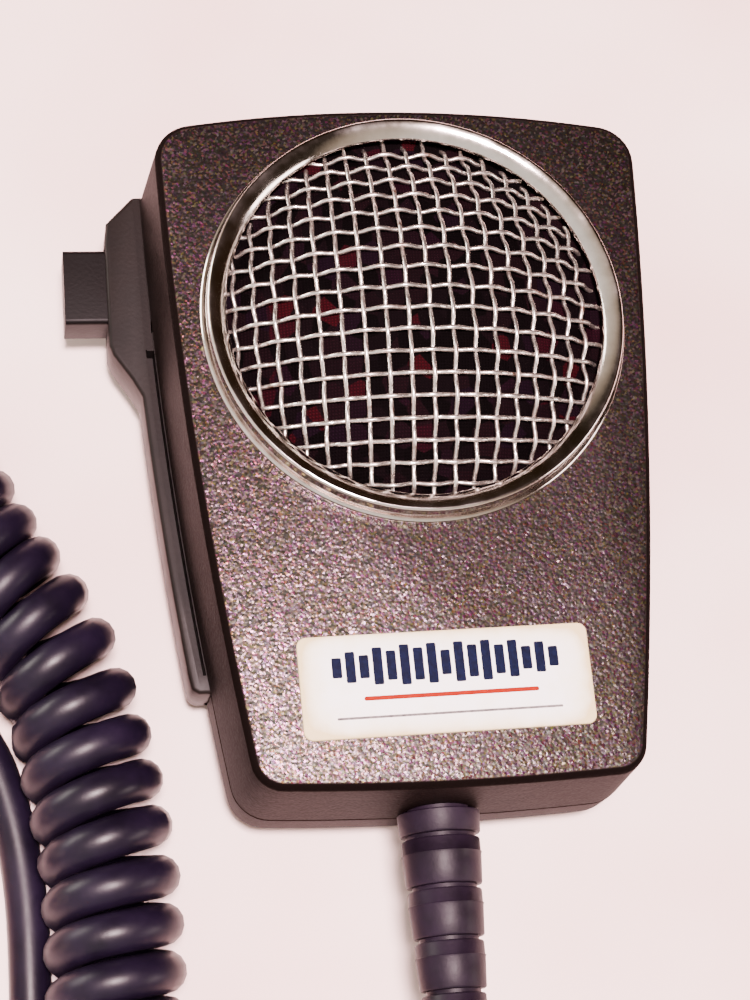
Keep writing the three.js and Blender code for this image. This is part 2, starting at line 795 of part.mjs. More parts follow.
function addElement() {
  const cradleInside = canRadius + fitGap;
  const cradleOutside = cradleInside + cradleWall;
  const seatZ = canZ - seatGap;
  const base = seatZ - cradleSeat;
  const rim = canZ + canHeight + cradleRim;
  const profile = [
    [cradleInside - cradleInset, base],
    [cradleOutside, base],
    [cradleOutside, rim],
    [cradleInside, rim],
    [cradleInside, seatZ],
    [cradleInside - cradleInset, seatZ],
    [cradleInside - cradleInset, base],
  ];
  piece("cartridge_cradle", "blackRubber", turned(profile));
  piece("cartridge_can", "zinc", bar("z", [0, 0, canZ], canHeight, canRadius, 32));

  const faceHoles = [];
  const holeCount = 6;
  const holeCircle = 5.5;
  for (let i = 0; i < holeCount; i++) {
    const angle = (2 * Math.PI * i) / holeCount;
    const place = [holeCircle * Math.cos(angle), holeCircle * Math.sin(angle), canZ + canHeight - past];
    faceHoles.push(bar("z", place, 4 * past, 1.2, 8));
  }
  const face = bar("z", [0, 0, canZ + canHeight + seatGap], 0.8, canRadius - 0.4, 32);
  piece("cartridge_face", "brass", cut(face, ...faceHoles));

  const contactY = -holeCircle - gaugeThickness;
  [-contactX, contactX].forEach((x, i) => {
    const tab = block([x - 1, contactY - gaugeThickness, seatZ - 3.3], [x + 1, contactY, seatZ]);
    piece(`cartridge_contact_${i + 1}`, "brass", tab);
  });
}

// ---- Amplifier ----------------------------------------------------------------------------

function addBoard() {
  const low = [-boardWidth / 2, boardY - boardHeight / 2, boardTopZ - boardThickness];
  const high = [boardWidth / 2, boardY + boardHeight / 2, boardTopZ];
  const holeLength = boardThickness + 2 * past;
  const holeRadius = boardScrewRadius + fitGap;
  const holes = boardPosts.map(([x, y]) => bar("z", [x, y, low[2] - past], holeLength, holeRadius, 12));
  piece("circuit_board", "boardLaminate", cut(block(low, high), ...holes));
  const headHeight = 1.1;
  boardPosts.forEach(([x, y], i) => {
    const head = bar("z", [x, y, low[2] - seatGap - headHeight], headHeight, boardScrewHead, 14);
    const shank = bar("z", [x, y, low[2] - root], boardThickness + 3, boardScrewRadius, 10);
    piece(`board_screw_${i + 1}`, "zinc", join(head, shank));
  });

  // The loose parts stand on the side of the board that faces the front shell.
  const onBoard = boardTopZ + seatGap;
  const lying = (radius) => onBoard + seatGap + radius; // middle of a round part that lies down
  const electrolytic = { radius: 2, length: 8 };
  [-5.5, 5.5].forEach((x, i) => {
    const start = [x - electrolytic.length / 2, boardY + 4.5, lying(electrolytic.radius)];
    const can = bar("x", start, electrolytic.length, electrolytic.radius, 18);
    piece(`electrolytic_capacitor_${i + 1}`, "batterySleeve", can);
  });
  const transistor = { radius: 2.2, height: 4, flat: 1.2 };
  [-9, -2.5].forEach((x, i) => {
    const y = boardY - 4;
    const round = bar("z", [x, y, onBoard], transistor.height, transistor.radius, 18);
    const flat = block(
      [x - 3, y - 3, onBoard - past],
      [x + 3, y - transistor.flat, onBoard + transistor.height + past],
    );
    piece(`transistor_${i + 1}`, "blackPlastic", cut(round, flat));
  });
  const disc = { radius: 2, thickness: 1.2 };
  const discStart = [5.5, boardY - 4 - disc.thickness / 2, lying(disc.radius)];
  piece("disc_capacitor", "wireJacket", bar("y", discStart, disc.thickness, disc.radius, 18));
  const resistor = { radius: 1, length: 5.6 };
  [-9.5, 0, 9.5].forEach((x, i) => {
    const start = [x - resistor.length / 2, boardY - 9.6, lying(resistor.radius)];
    piece(`resistor_${i + 1}`, "partPlastic", bar("x", start, resistor.length, resistor.radius, 12));
  });
}

function addGainControl() {
  const wheelLow = wheelX - wheelThickness / 2;
  const controlEnd = wheelLow - runGap;
  const controlStart = controlEnd - controlLength;
  const can = bar("x", [controlStart, wheelY, wheelZ], controlLength, controlRadius, 28);
  const foot = block(
    [controlStart, wheelY - controlRadius / 2, floorZ + seatGap],
    [controlStart + 2.5, wheelY + controlRadius / 2, wheelZ - controlRadius + 1],
  );
  const boreStart = wheelLow - shaftLength - 2 * runGap;
  const bore = bar("x", [boreStart, wheelY, wheelZ], controlEnd + past - boreStart, shaftRadius + runGap, 16);
  piece("gain_control", "zinc", cut(join(can, foot), bore));

  const notches = [];
  for (let i = 0; i < notchCount; i++) {
    const angle = (2 * Math.PI * i) / notchCount;
    const y = wheelY + wheelRadius * Math.cos(angle);
    const z = wheelZ + wheelRadius * Math.sin(angle);
    notches.push(bar("x", [wheelLow - past, y, z], wheelThickness + 2 * past, notchRadius, 6));
  }
  const disc = bar("x", [wheelLow, wheelY, wheelZ], wheelThickness, wheelRadius, 40);
  const shaft = bar("x", [wheelLow - shaftLength, wheelY, wheelZ], shaftLength + root, shaftRadius, 16);
  piece("gain_wheel", "blackPlastic", cut(join(disc, shaft), ...notches));
}

// ---- Battery, cover, stud and case screws -------------------------------------------------

function addBattery() {
  const middleZ = coverWall + fitGap + batteryRadius;
  const end = batteryLength / 2;
  const cellLength = batteryLength - nubLength + root;
  const cell = bar("x", [-end, batteryY, middleZ], cellLength, batteryRadius, 32);
  const nub = bar("x", [end - nubLength, batteryY, middleZ], nubLength, nubRadius, 16);
  piece("battery", "batterySleeve", join(cell, nub));
  [-1, 1].forEach((side, i) => {
    const x = side * (end + contactGap + contactThickness / 2);
    const strip = block(
      [x - contactThickness / 2, batteryY - contactHalfWidth, middleZ - 4],
      [x + contactThickness / 2, batteryY + contactHalfWidth, middleZ + 6],
    );
    piece(`battery_contact_${i + 1}`, "brass", strip);
  });

  const outline = roundedRectangle(2 * coverHalfWidth, coverHeight, coverCorner);
  const body = plate(outline, 0, backZ - seatGap).translate(0, batteryY, 0);
  const roomX = end + contactGap + contactThickness + fitGap + seatGap;
  const roomY = batteryRadius + 2 * fitGap;
  const room = block([-roomX, batteryY - roomY, coverWall], [roomX, batteryY + roomY, backZ + past]);
  const headZ = 0.3; // the heads sit this far up in their sinks
  const headHeight = 1;
  const sinkTop = headZ + headHeight + seatGap;
  const holes = [-coverScrewX, coverScrewX].flatMap((x) => [
    bar("z", [x, batteryY, -past], backZ + 2 * past, coverScrewRadius + fitGap + 0.15, 14),
    bar("z", [x, batteryY, -past], past + sinkTop, coverScrewHead + fitGap, 16),
  ]);
  piece("battery_cover", "pebbledPaint", cut(body, room, ...holes));
  [-coverScrewX, coverScrewX].forEach((x, i) => {
    const head = bar("z", [x, batteryY, headZ], headHeight, coverScrewHead, 16);
    const shank = bar("z", [x, batteryY, headZ + headHeight - root], 6, coverScrewRadius, 12);
    piece(`cover_screw_${i + 1}`, "zinc", join(head, shank));
  });
}

function addStud() {
  const profile = [
    [0, 0],
    [studRadius - 0.5, 0],
    [studRadius, 0.5],
    [studRadius, studThickness - 0.4],
    [studRadius - 0.6, studThickness],
    [studNeck, studThickness],
    [studNeck, backZ - seatGap],
    [0, backZ - seatGap],
  ];
  const body = turned(profile, 24).translate(0, studY, 0);
  const headZ = 0.3; // the head sits this far up in its sink
  const headHeight = 1.1;
  const sinkTop = headZ + headHeight + seatGap;
  const hole = bar("z", [0, studY, -past], backZ + 2 * past, studScrewRadius + fitGap, 16);
  const sink = bar("z", [0, studY, -past], past + sinkTop, studScrewHead + fitGap, 18);
  piece("hanger_stud", "zinc", cut(body, hole, sink));
  const head = bar("z", [0, studY, headZ], headHeight, studScrewHead, 18);
  const shank = bar("z", [0, studY, headZ + headHeight - root], 7.6, studScrewRadius, 14);
  piece("hanger_screw", "zinc", join(head, shank));
}

function addCaseScrews() {
  caseScrewPlaces.forEach(([x, y], i) => {
    const headZ = backZ + 0.3;
    const headHeight = 1.4;
    const shankZ = headZ + headHeight - root;
    const head = bar("z", [x, y, headZ], headHeight, caseScrewHead, 18);
    const shank = bar("z", [x, y, shankZ], backZ + caseScrewLength - shankZ, caseScrewRadius - seatGap, 12);
    const driver = block([x - 2, y - 0.4, backZ], [x + 2, y + 0.4, headZ + 0.6]);
    piece(`case_screw_${i + 1}`, "zinc", cut(join(head, shank), driver));
  });
}

// ---- Cord and plug ------------------------------------------------------------------------

const reliefY = bottomY - flare - seatGap; // where the sleeve meets the bottom wall

function addStrainRelief() {
  const innerY = bottomY + wall + 2 * fitGap;
  // Distance along the sleeve from the wall's outer face, against radius.
  const profile = [
    [0, reliefY - innerY - reliefCollarLength],
    [reliefNeck + reliefCollar, reliefY - innerY - reliefCollarLength],
    [reliefNeck + reliefCollar, reliefY - innerY],
    [reliefNeck, reliefY - innerY],
    [reliefNeck, 0],
    [reliefRadius, 0],
  ];
  const ringPitch = reliefLength / (reliefRings + 0.5);
  for (let i = 0; i < reliefRings; i++) {
    const along = ringPitch * (i + 0.45);
    const radius = reliefRadius + ((reliefTipRadius - reliefRadius) * along) / reliefLength;
    profile.push([radius, along], [radius - reliefGroove, along + 0.5], [radius, along + 1]);
  }
  profile.push([reliefTipRadius, reliefLength], [0, reliefLength]);
  const sleeve = turned(profile, 16).rotateX(Math.PI / 2);
  piece("strain_relief", "blackRubber", sleeve.translate(0, reliefY, cordExitZ));

  const stubY = innerY + reliefCollarLength + seatGap;
  piece("cable_stub", "cordJacket", bar("y", [0, stubY, cordExitZ], stubLength, cordRadius, 16));
  const clampInside = cordRadius + fitGap;
  const clampProfile = [
    [clampInside, 0],
    [clampInside + clampWall, 0],
    [clampInside + clampWall, clampLength],
    [clampInside, clampLength],
    [clampInside, 0],
  ];
  const clamp = turned(clampProfile, 24).rotateX(-Math.PI / 2);
  piece("cord_clamp", "zinc", clamp.translate(0, stubY + fitGap, cordExitZ));
  const wireY = stubY + stubLength + fitGap;
  [-conductorSpacing, 0, conductorSpacing].forEach((x, i) => {
    const start = [x, wireY, cordExitZ];
    const middle = [1.5 * x, wireY + 0.4, cordExitZ + 1.2];
    const end = [2 * x, wireY + 0.7, boardTopZ - boardThickness - fitGap];
    piece(`conductor_${i + 1}`, "wireJacket", tube([start, middle, end], conductorRadius, 6, 8));
  });
}

function addCord() {
  piece("cord_lead", "cordJacket", tube(leadRoute, cordRadius, 8, 16));
  piece("cord_coil", "cordJacket", tube(coilRoute, coilRadius, 12, 28));
  piece("cord_tail", "cordJacket", tube(tailRoute, cordRadius, 8, 26));
}

function addPlug() {
  const plug = new THREE.Group();
  plug.position.set(plugAxis[0], plugRearY, plugAxis[1]);
  plug.rotation.x = Math.PI / 2; // the plug's own +Z points along -Y
  microphone.add(plug);
  const length = plugShellLength;
  const sleeve = cordRadius + plugSleeve;
  const shoulder = plugShellRadius - 0.6;
  const shellProfile = [
    [cordRadius + fitGap, 0],
    [sleeve - 0.4, 0],
    [sleeve, 1],
    [sleeve, 6],
    [shoulder, 9],
    [shoulder, 12],
    [plugShellRadius, 12.6],
    [plugShellRadius, length],
    [plugShellRadius - plugWall, length],
    [plugShellRadius - plugWall, 11],
    [cordRadius + fitGap, 8],
    [cordRadius + fitGap, 0],
  ];
  piece("plug_shell", "chrome", turned(shellProfile, 24), plug);

  const sockets = [];
  for (let i = 0; i < 4; i++) {
    const angle = (i * Math.PI) / 2 + Math.PI / 4;
    const place = [socketCircle * Math.cos(angle), socketCircle * Math.sin(angle), length - 6];
    sockets.push(bar("z", place, 12, socketRadius, 12));
  }
  const insert = bar("z", [0, 0, length - 8], 10, plugShellRadius - plugWall - fitGap, 24);
  piece("plug_insert", "partPlastic", cut(insert, ...sockets), plug);
  const ringStart = length - plugRingLength + 3;
  const ringInside = plugShellRadius + runGap;
  const ringEnd = ringStart + plugRingLength;
  const bevel = ringInside + plugRingWall - 0.3;
  const ringProfile = [
    [ringInside, ringStart],
    [bevel, ringStart],
    [plugRingRadius, ringStart + 0.6],
    [plugRingRadius, ringEnd - 0.6],
    [bevel, ringEnd],
    [ringInside, ringEnd],
    [ringInside, ringStart],
  ];
  piece("plug_ring", "chrome", turned(ringProfile), plug);
  [-1, 1].forEach((side, i) => {
    const head = bar("x", [sleeve + seatGap, 0, 3.4], 1, 1.1, 12);
    if (side < 0) head.rotateZ(Math.PI);
    piece(`plug_clamp_screw_${i + 1}`, "zinc", head, plug);
  });
}

addFrontShell();
addRearShell();
addGrille();
addNamePlate();
addBezel();
addButton();
addSwitch();
addElement();
addBoard();
addGainControl();
addBattery();
addStud();
addCaseScrews();

// The origin is under the middle of the microphone itself, on the surface that it lies on.
microphone.updateMatrixWorld(true);
const middle = new THREE.Box3().setFromObject(microphone, true).getCenter(new THREE.Vector3());
microphone.position.set(-middle.x, -middle.y, 0);

addStrainRelief();
addCord();
addPlug();

export default microphone;
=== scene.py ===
"""A hand microphone for amateur radio, with its curly cord and plug, built round its CAD frame."""
import json
import math

import bmesh
import bpy
from mathutils import Matrix, Vector


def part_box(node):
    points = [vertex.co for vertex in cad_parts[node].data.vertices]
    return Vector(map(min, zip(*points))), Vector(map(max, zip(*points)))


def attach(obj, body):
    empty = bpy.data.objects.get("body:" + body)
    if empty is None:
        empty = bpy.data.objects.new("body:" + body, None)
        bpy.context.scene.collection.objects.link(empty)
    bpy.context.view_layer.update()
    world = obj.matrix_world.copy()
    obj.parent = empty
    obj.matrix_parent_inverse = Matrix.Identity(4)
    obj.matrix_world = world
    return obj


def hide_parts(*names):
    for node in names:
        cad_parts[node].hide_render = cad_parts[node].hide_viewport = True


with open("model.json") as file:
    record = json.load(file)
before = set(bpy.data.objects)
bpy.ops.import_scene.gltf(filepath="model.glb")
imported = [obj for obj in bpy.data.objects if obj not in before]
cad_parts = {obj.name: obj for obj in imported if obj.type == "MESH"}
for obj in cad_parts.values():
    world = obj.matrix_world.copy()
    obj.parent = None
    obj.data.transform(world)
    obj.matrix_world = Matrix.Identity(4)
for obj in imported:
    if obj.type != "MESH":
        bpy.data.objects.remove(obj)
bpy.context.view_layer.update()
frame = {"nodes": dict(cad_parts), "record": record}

MM = 0.001

# ---------------------------------------------------------------- Sizes, in millimetres
# Measured from the middle of the grille, x to the right, y to the top, z up from the table.
RING_LOW, RING_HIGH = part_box("grille_ring")
ORIGIN = Vector(((RING_LOW.x + RING_HIGH.x) / 2, (RING_LOW.y + RING_HIGH.y) / 2, 0))

TOP_Y, BOTTOM_Y = 30.6, -62.4
TOP_HALF, MIDDLE_HALF, BOTTOM_HALF = 33, 31.7, 24.4
TOP_BOW, BOTTOM_BOW = 2.9, 0.8
TOP_CORNER, BOTTOM_CORNER = 5, 3.8
BACK_Z, PARTING_Z, FACE_Z = 4.5, 13, 29
WALL, FLARE = 2, 1.4
EDGE_RADIUS, REAR_RADIUS = 1.2, 2.5
RING_RADIUS, RING_WIDTH, RING_RISE = 28.6, 3.4, 3.5
DOME_RADIUS = 42
CORD_DIAMETER = 5.5
COIL_RADIUS = 6.35  # from the middle of the coil to the middle of the cord
COIL_PITCH = 5.9


def at(x, y, z):
    """A point of the microphone, in metres in the frame's own axes."""
    return Vector((x * MM + ORIGIN.x, y * MM + ORIGIN.y, z * MM))


# ---------------------------------------------------------------- Camera
CAMERA_FRAME, CAMERA_LENS = 36, 79.2
CAMERA_PLACE = (-57.30, -109.17, FACE_Z + 266.24)
CAMERA_RIGHT, CAMERA_UP = (0.98396, -0.07922, 0.15981), (0.02700, 0.95179, 0.30557)
CAMERA_BACK = (-0.17631, -0.29635, 0.93866)


def set_camera():
    """A camera close over the lower left of the microphone, looking steeply down at it."""
    data = bpy.data.cameras.new("bench_camera")
    data.sensor_fit = "VERTICAL"
    data.sensor_height = CAMERA_FRAME
    data.lens = CAMERA_LENS
    data.clip_start = 0.01
    data.clip_end = 20
    camera = bpy.data.objects.new("bench_camera", data)
    bpy.context.scene.collection.objects.link(camera)
    turn = Matrix((CAMERA_RIGHT, CAMERA_UP, CAMERA_BACK)).transposed().to_4x4()
    camera.matrix_world = Matrix.Translation(at(*CAMERA_PLACE)) @ turn
    bpy.context.scene.camera = camera


set_camera()


# ---------------------------------------------------------------- Finishes
def srgb(code):
    """An sRGB hex colour as linear red, green, blue and alpha."""
    parts = [int(code[i : i + 2], 16) / 255 for i in (1, 3, 5)]
    linear = [p / 12.92 if p <= 0.04045 else ((p + 0.055) / 1.055) ** 2.4 for p in parts]
    return (*linear, 1)


def add(tree, kind, sockets=(), stops=(), **settings):
    """Adds one node with its settings, and sets or links its inputs: by name or number, or in the
    node's own order. A node given as an input is its first output. The stops are a colour ramp's."""
    node = tree.nodes.new("ShaderNode" + kind)
    for name, value in settings.items():
        setattr(node, name, value)
    for socket, value in sockets.items() if isinstance(sockets, dict) else enumerate(sockets):
        if isinstance(value, bpy.types.Node):
            value = value.outputs[0]
        if isinstance(value, bpy.types.NodeSocket):
            tree.links.new(value, node.inputs[socket])
        else:
            node.inputs[socket].default_value = value
    for number, (place, code) in enumerate(stops):
        if number >= len(node.color_ramp.elements):
            node.color_ramp.elements.new(1)
        node.color_ramp.elements[number].position = place
        node.color_ramp.elements[number].color = srgb(code)
    return node


def start_finish(name):
    """A new material with no shader yet: its node tree, and where each point is, in metres."""
    material = bpy.data.materials.new(name)
    material.use_nodes = True
    tree = material.node_tree
    tree.nodes.clear()
    return tree, add(tree, "TexCoord").outputs["Object"]


def end_finish(tree, sockets):
    """Gives a material its one shader."""
    add(tree, "OutputMaterial", {"Surface": add(tree, "BsdfPrincipled", sockets)})


def clouded_finish(name, cloud, colours, grain=None, relief=(0.01, 0.3), rough=None, **sockets):
    """A finish whose colour drifts in soft clouds over a fine relief. The cloud and the grain are
    (size in mm, detail, sharpness), the relief is (depth in mm, strength), and rough is (cloud from,
    cloud to, roughness from, roughness to). With no grain, the clouds are the relief."""
    tree, where = start_finish(name)
    layers = []
    for size, detail, sharpness in (cloud, grain or cloud):
        lumps = {"Vector": where, "Scale": 1 / (size * MM), "Detail": detail, "Roughness": sharpness}
        layers.append(add(tree, "TexNoise", lumps))
    depth, strength = relief
    surface = {k.replace("_", " "): v for k, v in sockets.items()}
    surface["Base Color"] = add(tree, "ValToRGB", {"Fac": layers[0]}, colours)
    surface["Normal"] = add(tree, "Bump", {"Height": layers[1], "Distance": depth * MM, "Strength": strength})
    if rough:
        surface["Roughness"] = add(tree, "MapRange", (layers[0], *rough))
    end_finish(tree, surface)


def pebbled_metallic_paint():
    """Stoved metallic enamel on a die-cast case: a fine pebble and aluminium flakes that glitter in
    every colour where the light falls, duller down the walls, with a painted dark reflection along the sharp
    edge."""
    tree, where = start_finish("pebbled_metallic_paint")
    height = add(tree, "SeparateXYZ", (where,)).outputs["Z"]
    face = add(tree, "MapRange", (height, (FACE_Z - 0.12) * MM, (FACE_Z - 0.02) * MM, 0, 1))
    back = add(tree, "MapRange", (height, (BACK_Z + 0.05) * MM, (BACK_Z + 0.6) * MM, 1, 0))
    flat = add(tree, "Math", (face, back), operation="MAXIMUM")
    # The band over the rounded edge of the face is painted dark there, a painted dark reflection, and made
    # rougher.
    over_edge = add(tree, "MapRange", (height, (FACE_Z - 1.25) * MM, (FACE_Z - 0.95) * MM, 0, 1))
    off_face = add(tree, "Math", (1.0, face), operation="SUBTRACT")
    edge = add(tree, "Math", (over_edge, off_face), operation="MULTIPLY")
    # The real pebble is about 0.3 mm across; 0.5 mm is the finest that shows.
    lumps = {"Vector": where, "Scale": 1 / (0.5 * MM), "Smoothness": 0.35}
    pebble = add(tree, "TexVoronoi", lumps, feature="SMOOTH_F1")
    # Aluminium flakes are some hundredths of a millimetre; each is drawn 0.28 mm across.
    flake = add(tree, "TexVoronoi", {"Vector": where, "Scale": 1 / (0.28 * MM)}).outputs["Color"]
    dice = add(tree, "SeparateColor", (flake,))
    unevenness, drift, stain = (
        add(tree, "TexNoise", {"Vector": where, "Scale": 1 / (lump * MM), "Detail": 3})
        for lump in (1.2, 14, 6)
    )
    enamel = add(tree, "ValToRGB", (drift,), ((0.3, "#29211c"), (0.7, "#302827")))
    walls = add(tree, "ValToRGB", (stain,), ((0.3, "#110c0c"), (0.75, "#1a1414")))
    glitter = add(tree, "MapRange", (dice, 0.5, 1, 0.03, 0.24))
    sparkle = add(tree, "Math", (glitter, flat), operation="MULTIPLY")
    wall_to_face = add(tree, "MapRange", (flat, 0, 1, 0.12, 1))
    # Painted shade along the rounded edge: the dark it reflects, painted into the colour.
    edge_shade = add(tree, "Math", (edge, 0.92), operation="MULTIPLY")
    tinted = add(tree, "Mix", {0: 0.5, 6: flake, 7: srgb("#857c72")}, data_type="RGBA").outputs[2]
    flaked = add(tree, "Mix", {0: sparkle, 6: enamel, 7: tinted}, data_type="RGBA").outputs[2]
    painted = add(tree, "Mix", {0: wall_to_face, 6: walls, 7: flaked}, data_type="RGBA").outputs[2]
    edge_shaded_paint = add(tree, "Mix", {0: edge_shade, 6: painted, 7: srgb("#0d0908")}, data_type="RGBA").outputs[2]
    satin = add(tree, "MapRange", (dice.outputs[1], 0, 1, 0.22, 0.36))
    level = add(tree, "Mix", {0: flat, 2: 0.5, 3: satin})
    # Each flake lies at its own small angle, so a few of them flash at a time.
    tip = add(tree, "VectorMath", (flake, (0.5, 0.5, 0.5)), operation="SUBTRACT")
    tilt = add(tree, "MapRange", (flat, 0, 1, 0.08, 0.2))
    lean = add(tree, "VectorMath", {0: tip, "Scale": tilt}, operation="SCALE")
    facing = add(tree, "NewGeometry").outputs["Normal"]
    leaning = add(tree, "VectorMath", (facing, lean), operation="ADD")
    unit = add(tree, "VectorMath", (leaning,), operation="NORMALIZE")
    relief = add(tree, "Math", (pebble, -0.8, unevenness), operation="MULTIPLY_ADD")
    skin = {"Height": relief, "Distance": 0.05 * MM, "Strength": 0.8, "Normal": unit}
    end_finish(tree, {
        "Specular IOR Level": 0.0,
        "Base Color": edge_shaded_paint,
        "Metallic": add(tree, "MapRange", (flat, 0, 1, 0.35, 0.9)),
        "Roughness": add(tree, "Math", (edge, 0.3, level), operation="MULTIPLY_ADD"),
        "Normal": add(tree, "Bump", skin),
    })


def dark_screen_cloth():
    """Thin woven silk behind the wire, almost black, with painted deep-red glints and painted shade between
    its threads.
    """
    tree, where = start_finish("dark_screen_cloth")
    # Threads are 0.15 mm apart on such a cloth; 0.4 mm is drawn, so that they show.
    threads = {"Vector": where, "Scale": 1 / (0.4 * MM) / WAVES_PER_UNIT, "Distortion": 0.4, "Detail": 1.0}
    warp, weft = (add(tree, "TexWave", threads, bands_direction=axis).outputs["Fac"] for axis in "XY")
    weave = add(tree, "Math", (warp, weft), operation="MULTIPLY")
    # Behind each opening of the wire, 2.9 mm apart, the cloth has its own tone: dark reds, with a few painted
    # deep-red glints.
    patch = add(tree, "TexVoronoi", {"Vector": where, "Scale": 1 / (2.9 * MM), "Randomness": 0.7})
    tone = add(tree, "SeparateColor", (patch.outputs["Color"],))
    glint_stops = (0.2, "#030202"), (0.5, "#0a0507"), (0.75, "#14070b"), (0.92, "#110610"), (0.99, "#2c060c")
    cell_tones_and_glints = add(tree, "ValToRGB", (tone,), glint_stops)
    # Between the threads the colour is painted near black: painted shade in the weave.
    on_top = add(tree, "MapRange", (weave, 0.1, 0.9, 0.35, 1))
    shaded_weave = add(tree, "Mix", {0: on_top, 6: srgb("#040203"), 7: cell_tones_and_glints}, data_type="RGBA").outputs[2]
    end_finish(tree, {
        "Roughness": 0.8,
        "Specular IOR Level": 0.02,
        "Base Color": shaded_weave,
        "Normal": add(tree, "Bump", {"Height": weave, "Distance": 0.1 * MM, "Strength": 0.8}),
    })


def lacquered_cream_plate():
    """Printed aluminium plate under clear lacquer: white in the middle, yellowed towards its edges."""
    tree, where = start_finish("lacquered_cream_plate")
    low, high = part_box("name_plate")
    middle, size = (low + high) / 2, high - low
    centred = add(tree, "Mapping", {
        "Vector": where,
        "Location": (-2 * middle.x / size.x, -2 * middle.y / size.y, -middle.z),
        "Scale": (2 / size.x, 2 / size.y, 0),
    })
    apart = add(tree, "SeparateXYZ", (centred,))
    # The yellowing keeps to the ends and the long edges, and is widest along the long ones.
    yellowed = []
    for axis, closeness in (("X", 10.0), ("Y", 5.0)):
        off_middle = add(tree, "Math", (apart.outputs[axis],), operation="ABSOLUTE")
        yellowed.append(add(tree, "Math", (off_middle, closeness), operation="POWER"))
    edge = add(tree, "Math", yellowed, operation="ADD")
    faded = add(tree, "Math", (edge, 0.9), operation="MULTIPLY")
    stain, dent = (
        add(tree, "TexNoise", {"Vector": where, "Scale": 1 / (lump * MM), "Detail": detail})
        for lump, detail in ((3, 4), (1.5, 3))
    )
    mottled = add(tree, "Math", (stain, 0.5, faded), operation="MULTIPLY_ADD")
    creams = (0.25, "#ffffff"), (0.6, "#f6f0da"), (0.95, "#d9c795")
    end_finish(tree, {
        "Roughness": 0.5,
        "Specular IOR Level": 0.1,
        "Base Color": add(tree, "ValToRGB", (mottled,), creams),
        "Normal": add(tree, "Bump", {"Height": dent, "Distance": 0.015 * MM, "Strength": 0.4}),
    })


def nickel_plate():
    """Nickel-plated brass of the plug: slightly yellow, softly polished, with fine turning rings."""
    tree, where = start_finish("nickel_plated_brass")
    # Turning marks of the lathe are about 0.1 mm apart; 0.35 mm is drawn, so that they show.
    marks = {"Vector": where, "Scale": 1 / (0.35 * MM) / WAVES_PER_UNIT, "Distortion": 0.6}
    rings = add(tree, "TexWave", marks, bands_direction="Y").outputs["Fac"]
    tone = add(tree, "TexNoise", {"Vector": where, "Scale": 1 / (4 * MM), "Detail": 4})
    end_finish(tree, {
        "Metallic": 1.0,
        "Base Color": add(tree, "ValToRGB", (tone,), ((0.3, "#b7ab93"), (0.7, "#d8d0bd"))),
        "Roughness": add(tree, "MapRange", (tone, 0.3, 0.7, 0.16, 0.3)),
        "Normal": add(tree, "Bump", {"Height": rings, "Distance": 0.01 * MM, "Strength": 0.35}),
    })


def board_laminate():
    """Paper-based phenolic laminate: tan, with the cloudy fibres of the paper along the board."""
    tree, where = start_finish("phenolic_laminate")
    fibre = add(tree, "Mapping", {"Vector": where, "Scale": (1, 0.2, 1)})
    lumps = {"Vector": fibre, "Scale": 1 / (0.8 * MM), "Detail": 5, "Roughness": 0.65}
    paper = add(tree, "TexNoise", lumps)
    end_finish(tree, {
        "Roughness": 0.45,
        "Base Color": add(tree, "ValToRGB", (paper,), ((0.3, "#8d6b34"), (0.7, "#b48f52"))),
        "Normal": add(tree, "Bump", {"Height": paper, "Distance": 0.02 * MM, "Strength": 0.4}),
    })


WAVES_PER_UNIT = 3.18  # bands that Blender's wave texture draws in one unit at scale 1
pebbled_metallic_paint()
dark_screen_cloth()
lacquered_cream_plate()
nickel_plate()
board_laminate()
# Injection-moulded ABS: an even satin, with a trace of mould grain and rubbed patches.
for name, colour, rubbed, satin in (
    ("moulded_olive_plastic", "#0c0807", "#15100e", 0.5),
    ("moulded_black_button", "#040202", "#0a0606", 0.46),
    ("moulded_black_plastic", "#1b191a", "#2a2728", 0.45),
):
    clouded_finish(
        name, (9, 4, 0.6), ((0.35, colour), (0.8, rubbed)), (0.5, 2, 0.5), (0.04, 0.5),
        (0.3, 0.75, satin + 0.06, satin - 0.08), IOR=1.53, Specular_IOR_Level=0.12,
    )
# Bright chromium on pressed brass: mirror-like and warm, with a few fine rubs and fingermarks.
clouded_finish(
    "chromium_plate", (5, 4, 0.6), ((0.3, "#cfc6bf"), (0.7, "#e6dfd9")), (0.4, 2, 0.5), (0.01, 0.35),
    (0.35, 0.8, 0.09, 0.22), Metallic=1.0,
)
# Chromed steel wire, crimped and woven: bright on top, with brown grime where wires cross.
clouded_finish(
    "chromed_wire", (2.2, 4, 0.65), ((0.28, "#6b4f40"), (0.42, "#d8cec6"), (0.8, "#efeae4")),
    (0.25, 2, 0.5), (0.01, 0.3), (0.25, 0.6, 0.45, 0.2), Metallic=0.95,
)
# Screen-printed ink, a few hundredths of a millimetre thick, slightly rubbed.
for name, colour, rubbed in (
    ("navy_ink", "#03061a", "#0a1230"), ("red_ink", "#7a0c02", "#931d06"), ("grey_ink", "#4a4648", "#8c8684")
):
    clouded_finish(
        name, (0.8, 4, 0.65), ((0.35, colour), (0.8, rubbed)), Roughness=0.5, Specular_IOR_Level=0.05
    )
# Moulded PVC strain relief: a dull bluish black with a soft bloom and dust.
clouded_finish(
    "moulded_black_rubber", (5, 4, 0.6), ((0.3, "#0c060e"), (0.78, "#1a101f")), (0.6, 3, 0.5), (0.05, 0.5),
    (0.3, 0.8, 0.42, 0.58), IOR=1.5, Specular_IOR_Level=0.18,
)
# Extruded PVC jacket that has taken its curl in the oven: satin blue-black, with a waxy highlight
# along each turn and faint marks from handling.
clouded_finish(
    "extruded_cord_jacket", (8, 4, 0.6), ((0.3, "#0a0610"), (0.6, "#110a1a"), (0.85, "#1b1225")),
    (0.9, 3, 0.5), (0.04, 0.4), (0.3, 0.75, 0.33, 0.48), IOR=1.5, Specular_IOR_Level=0.22,
)
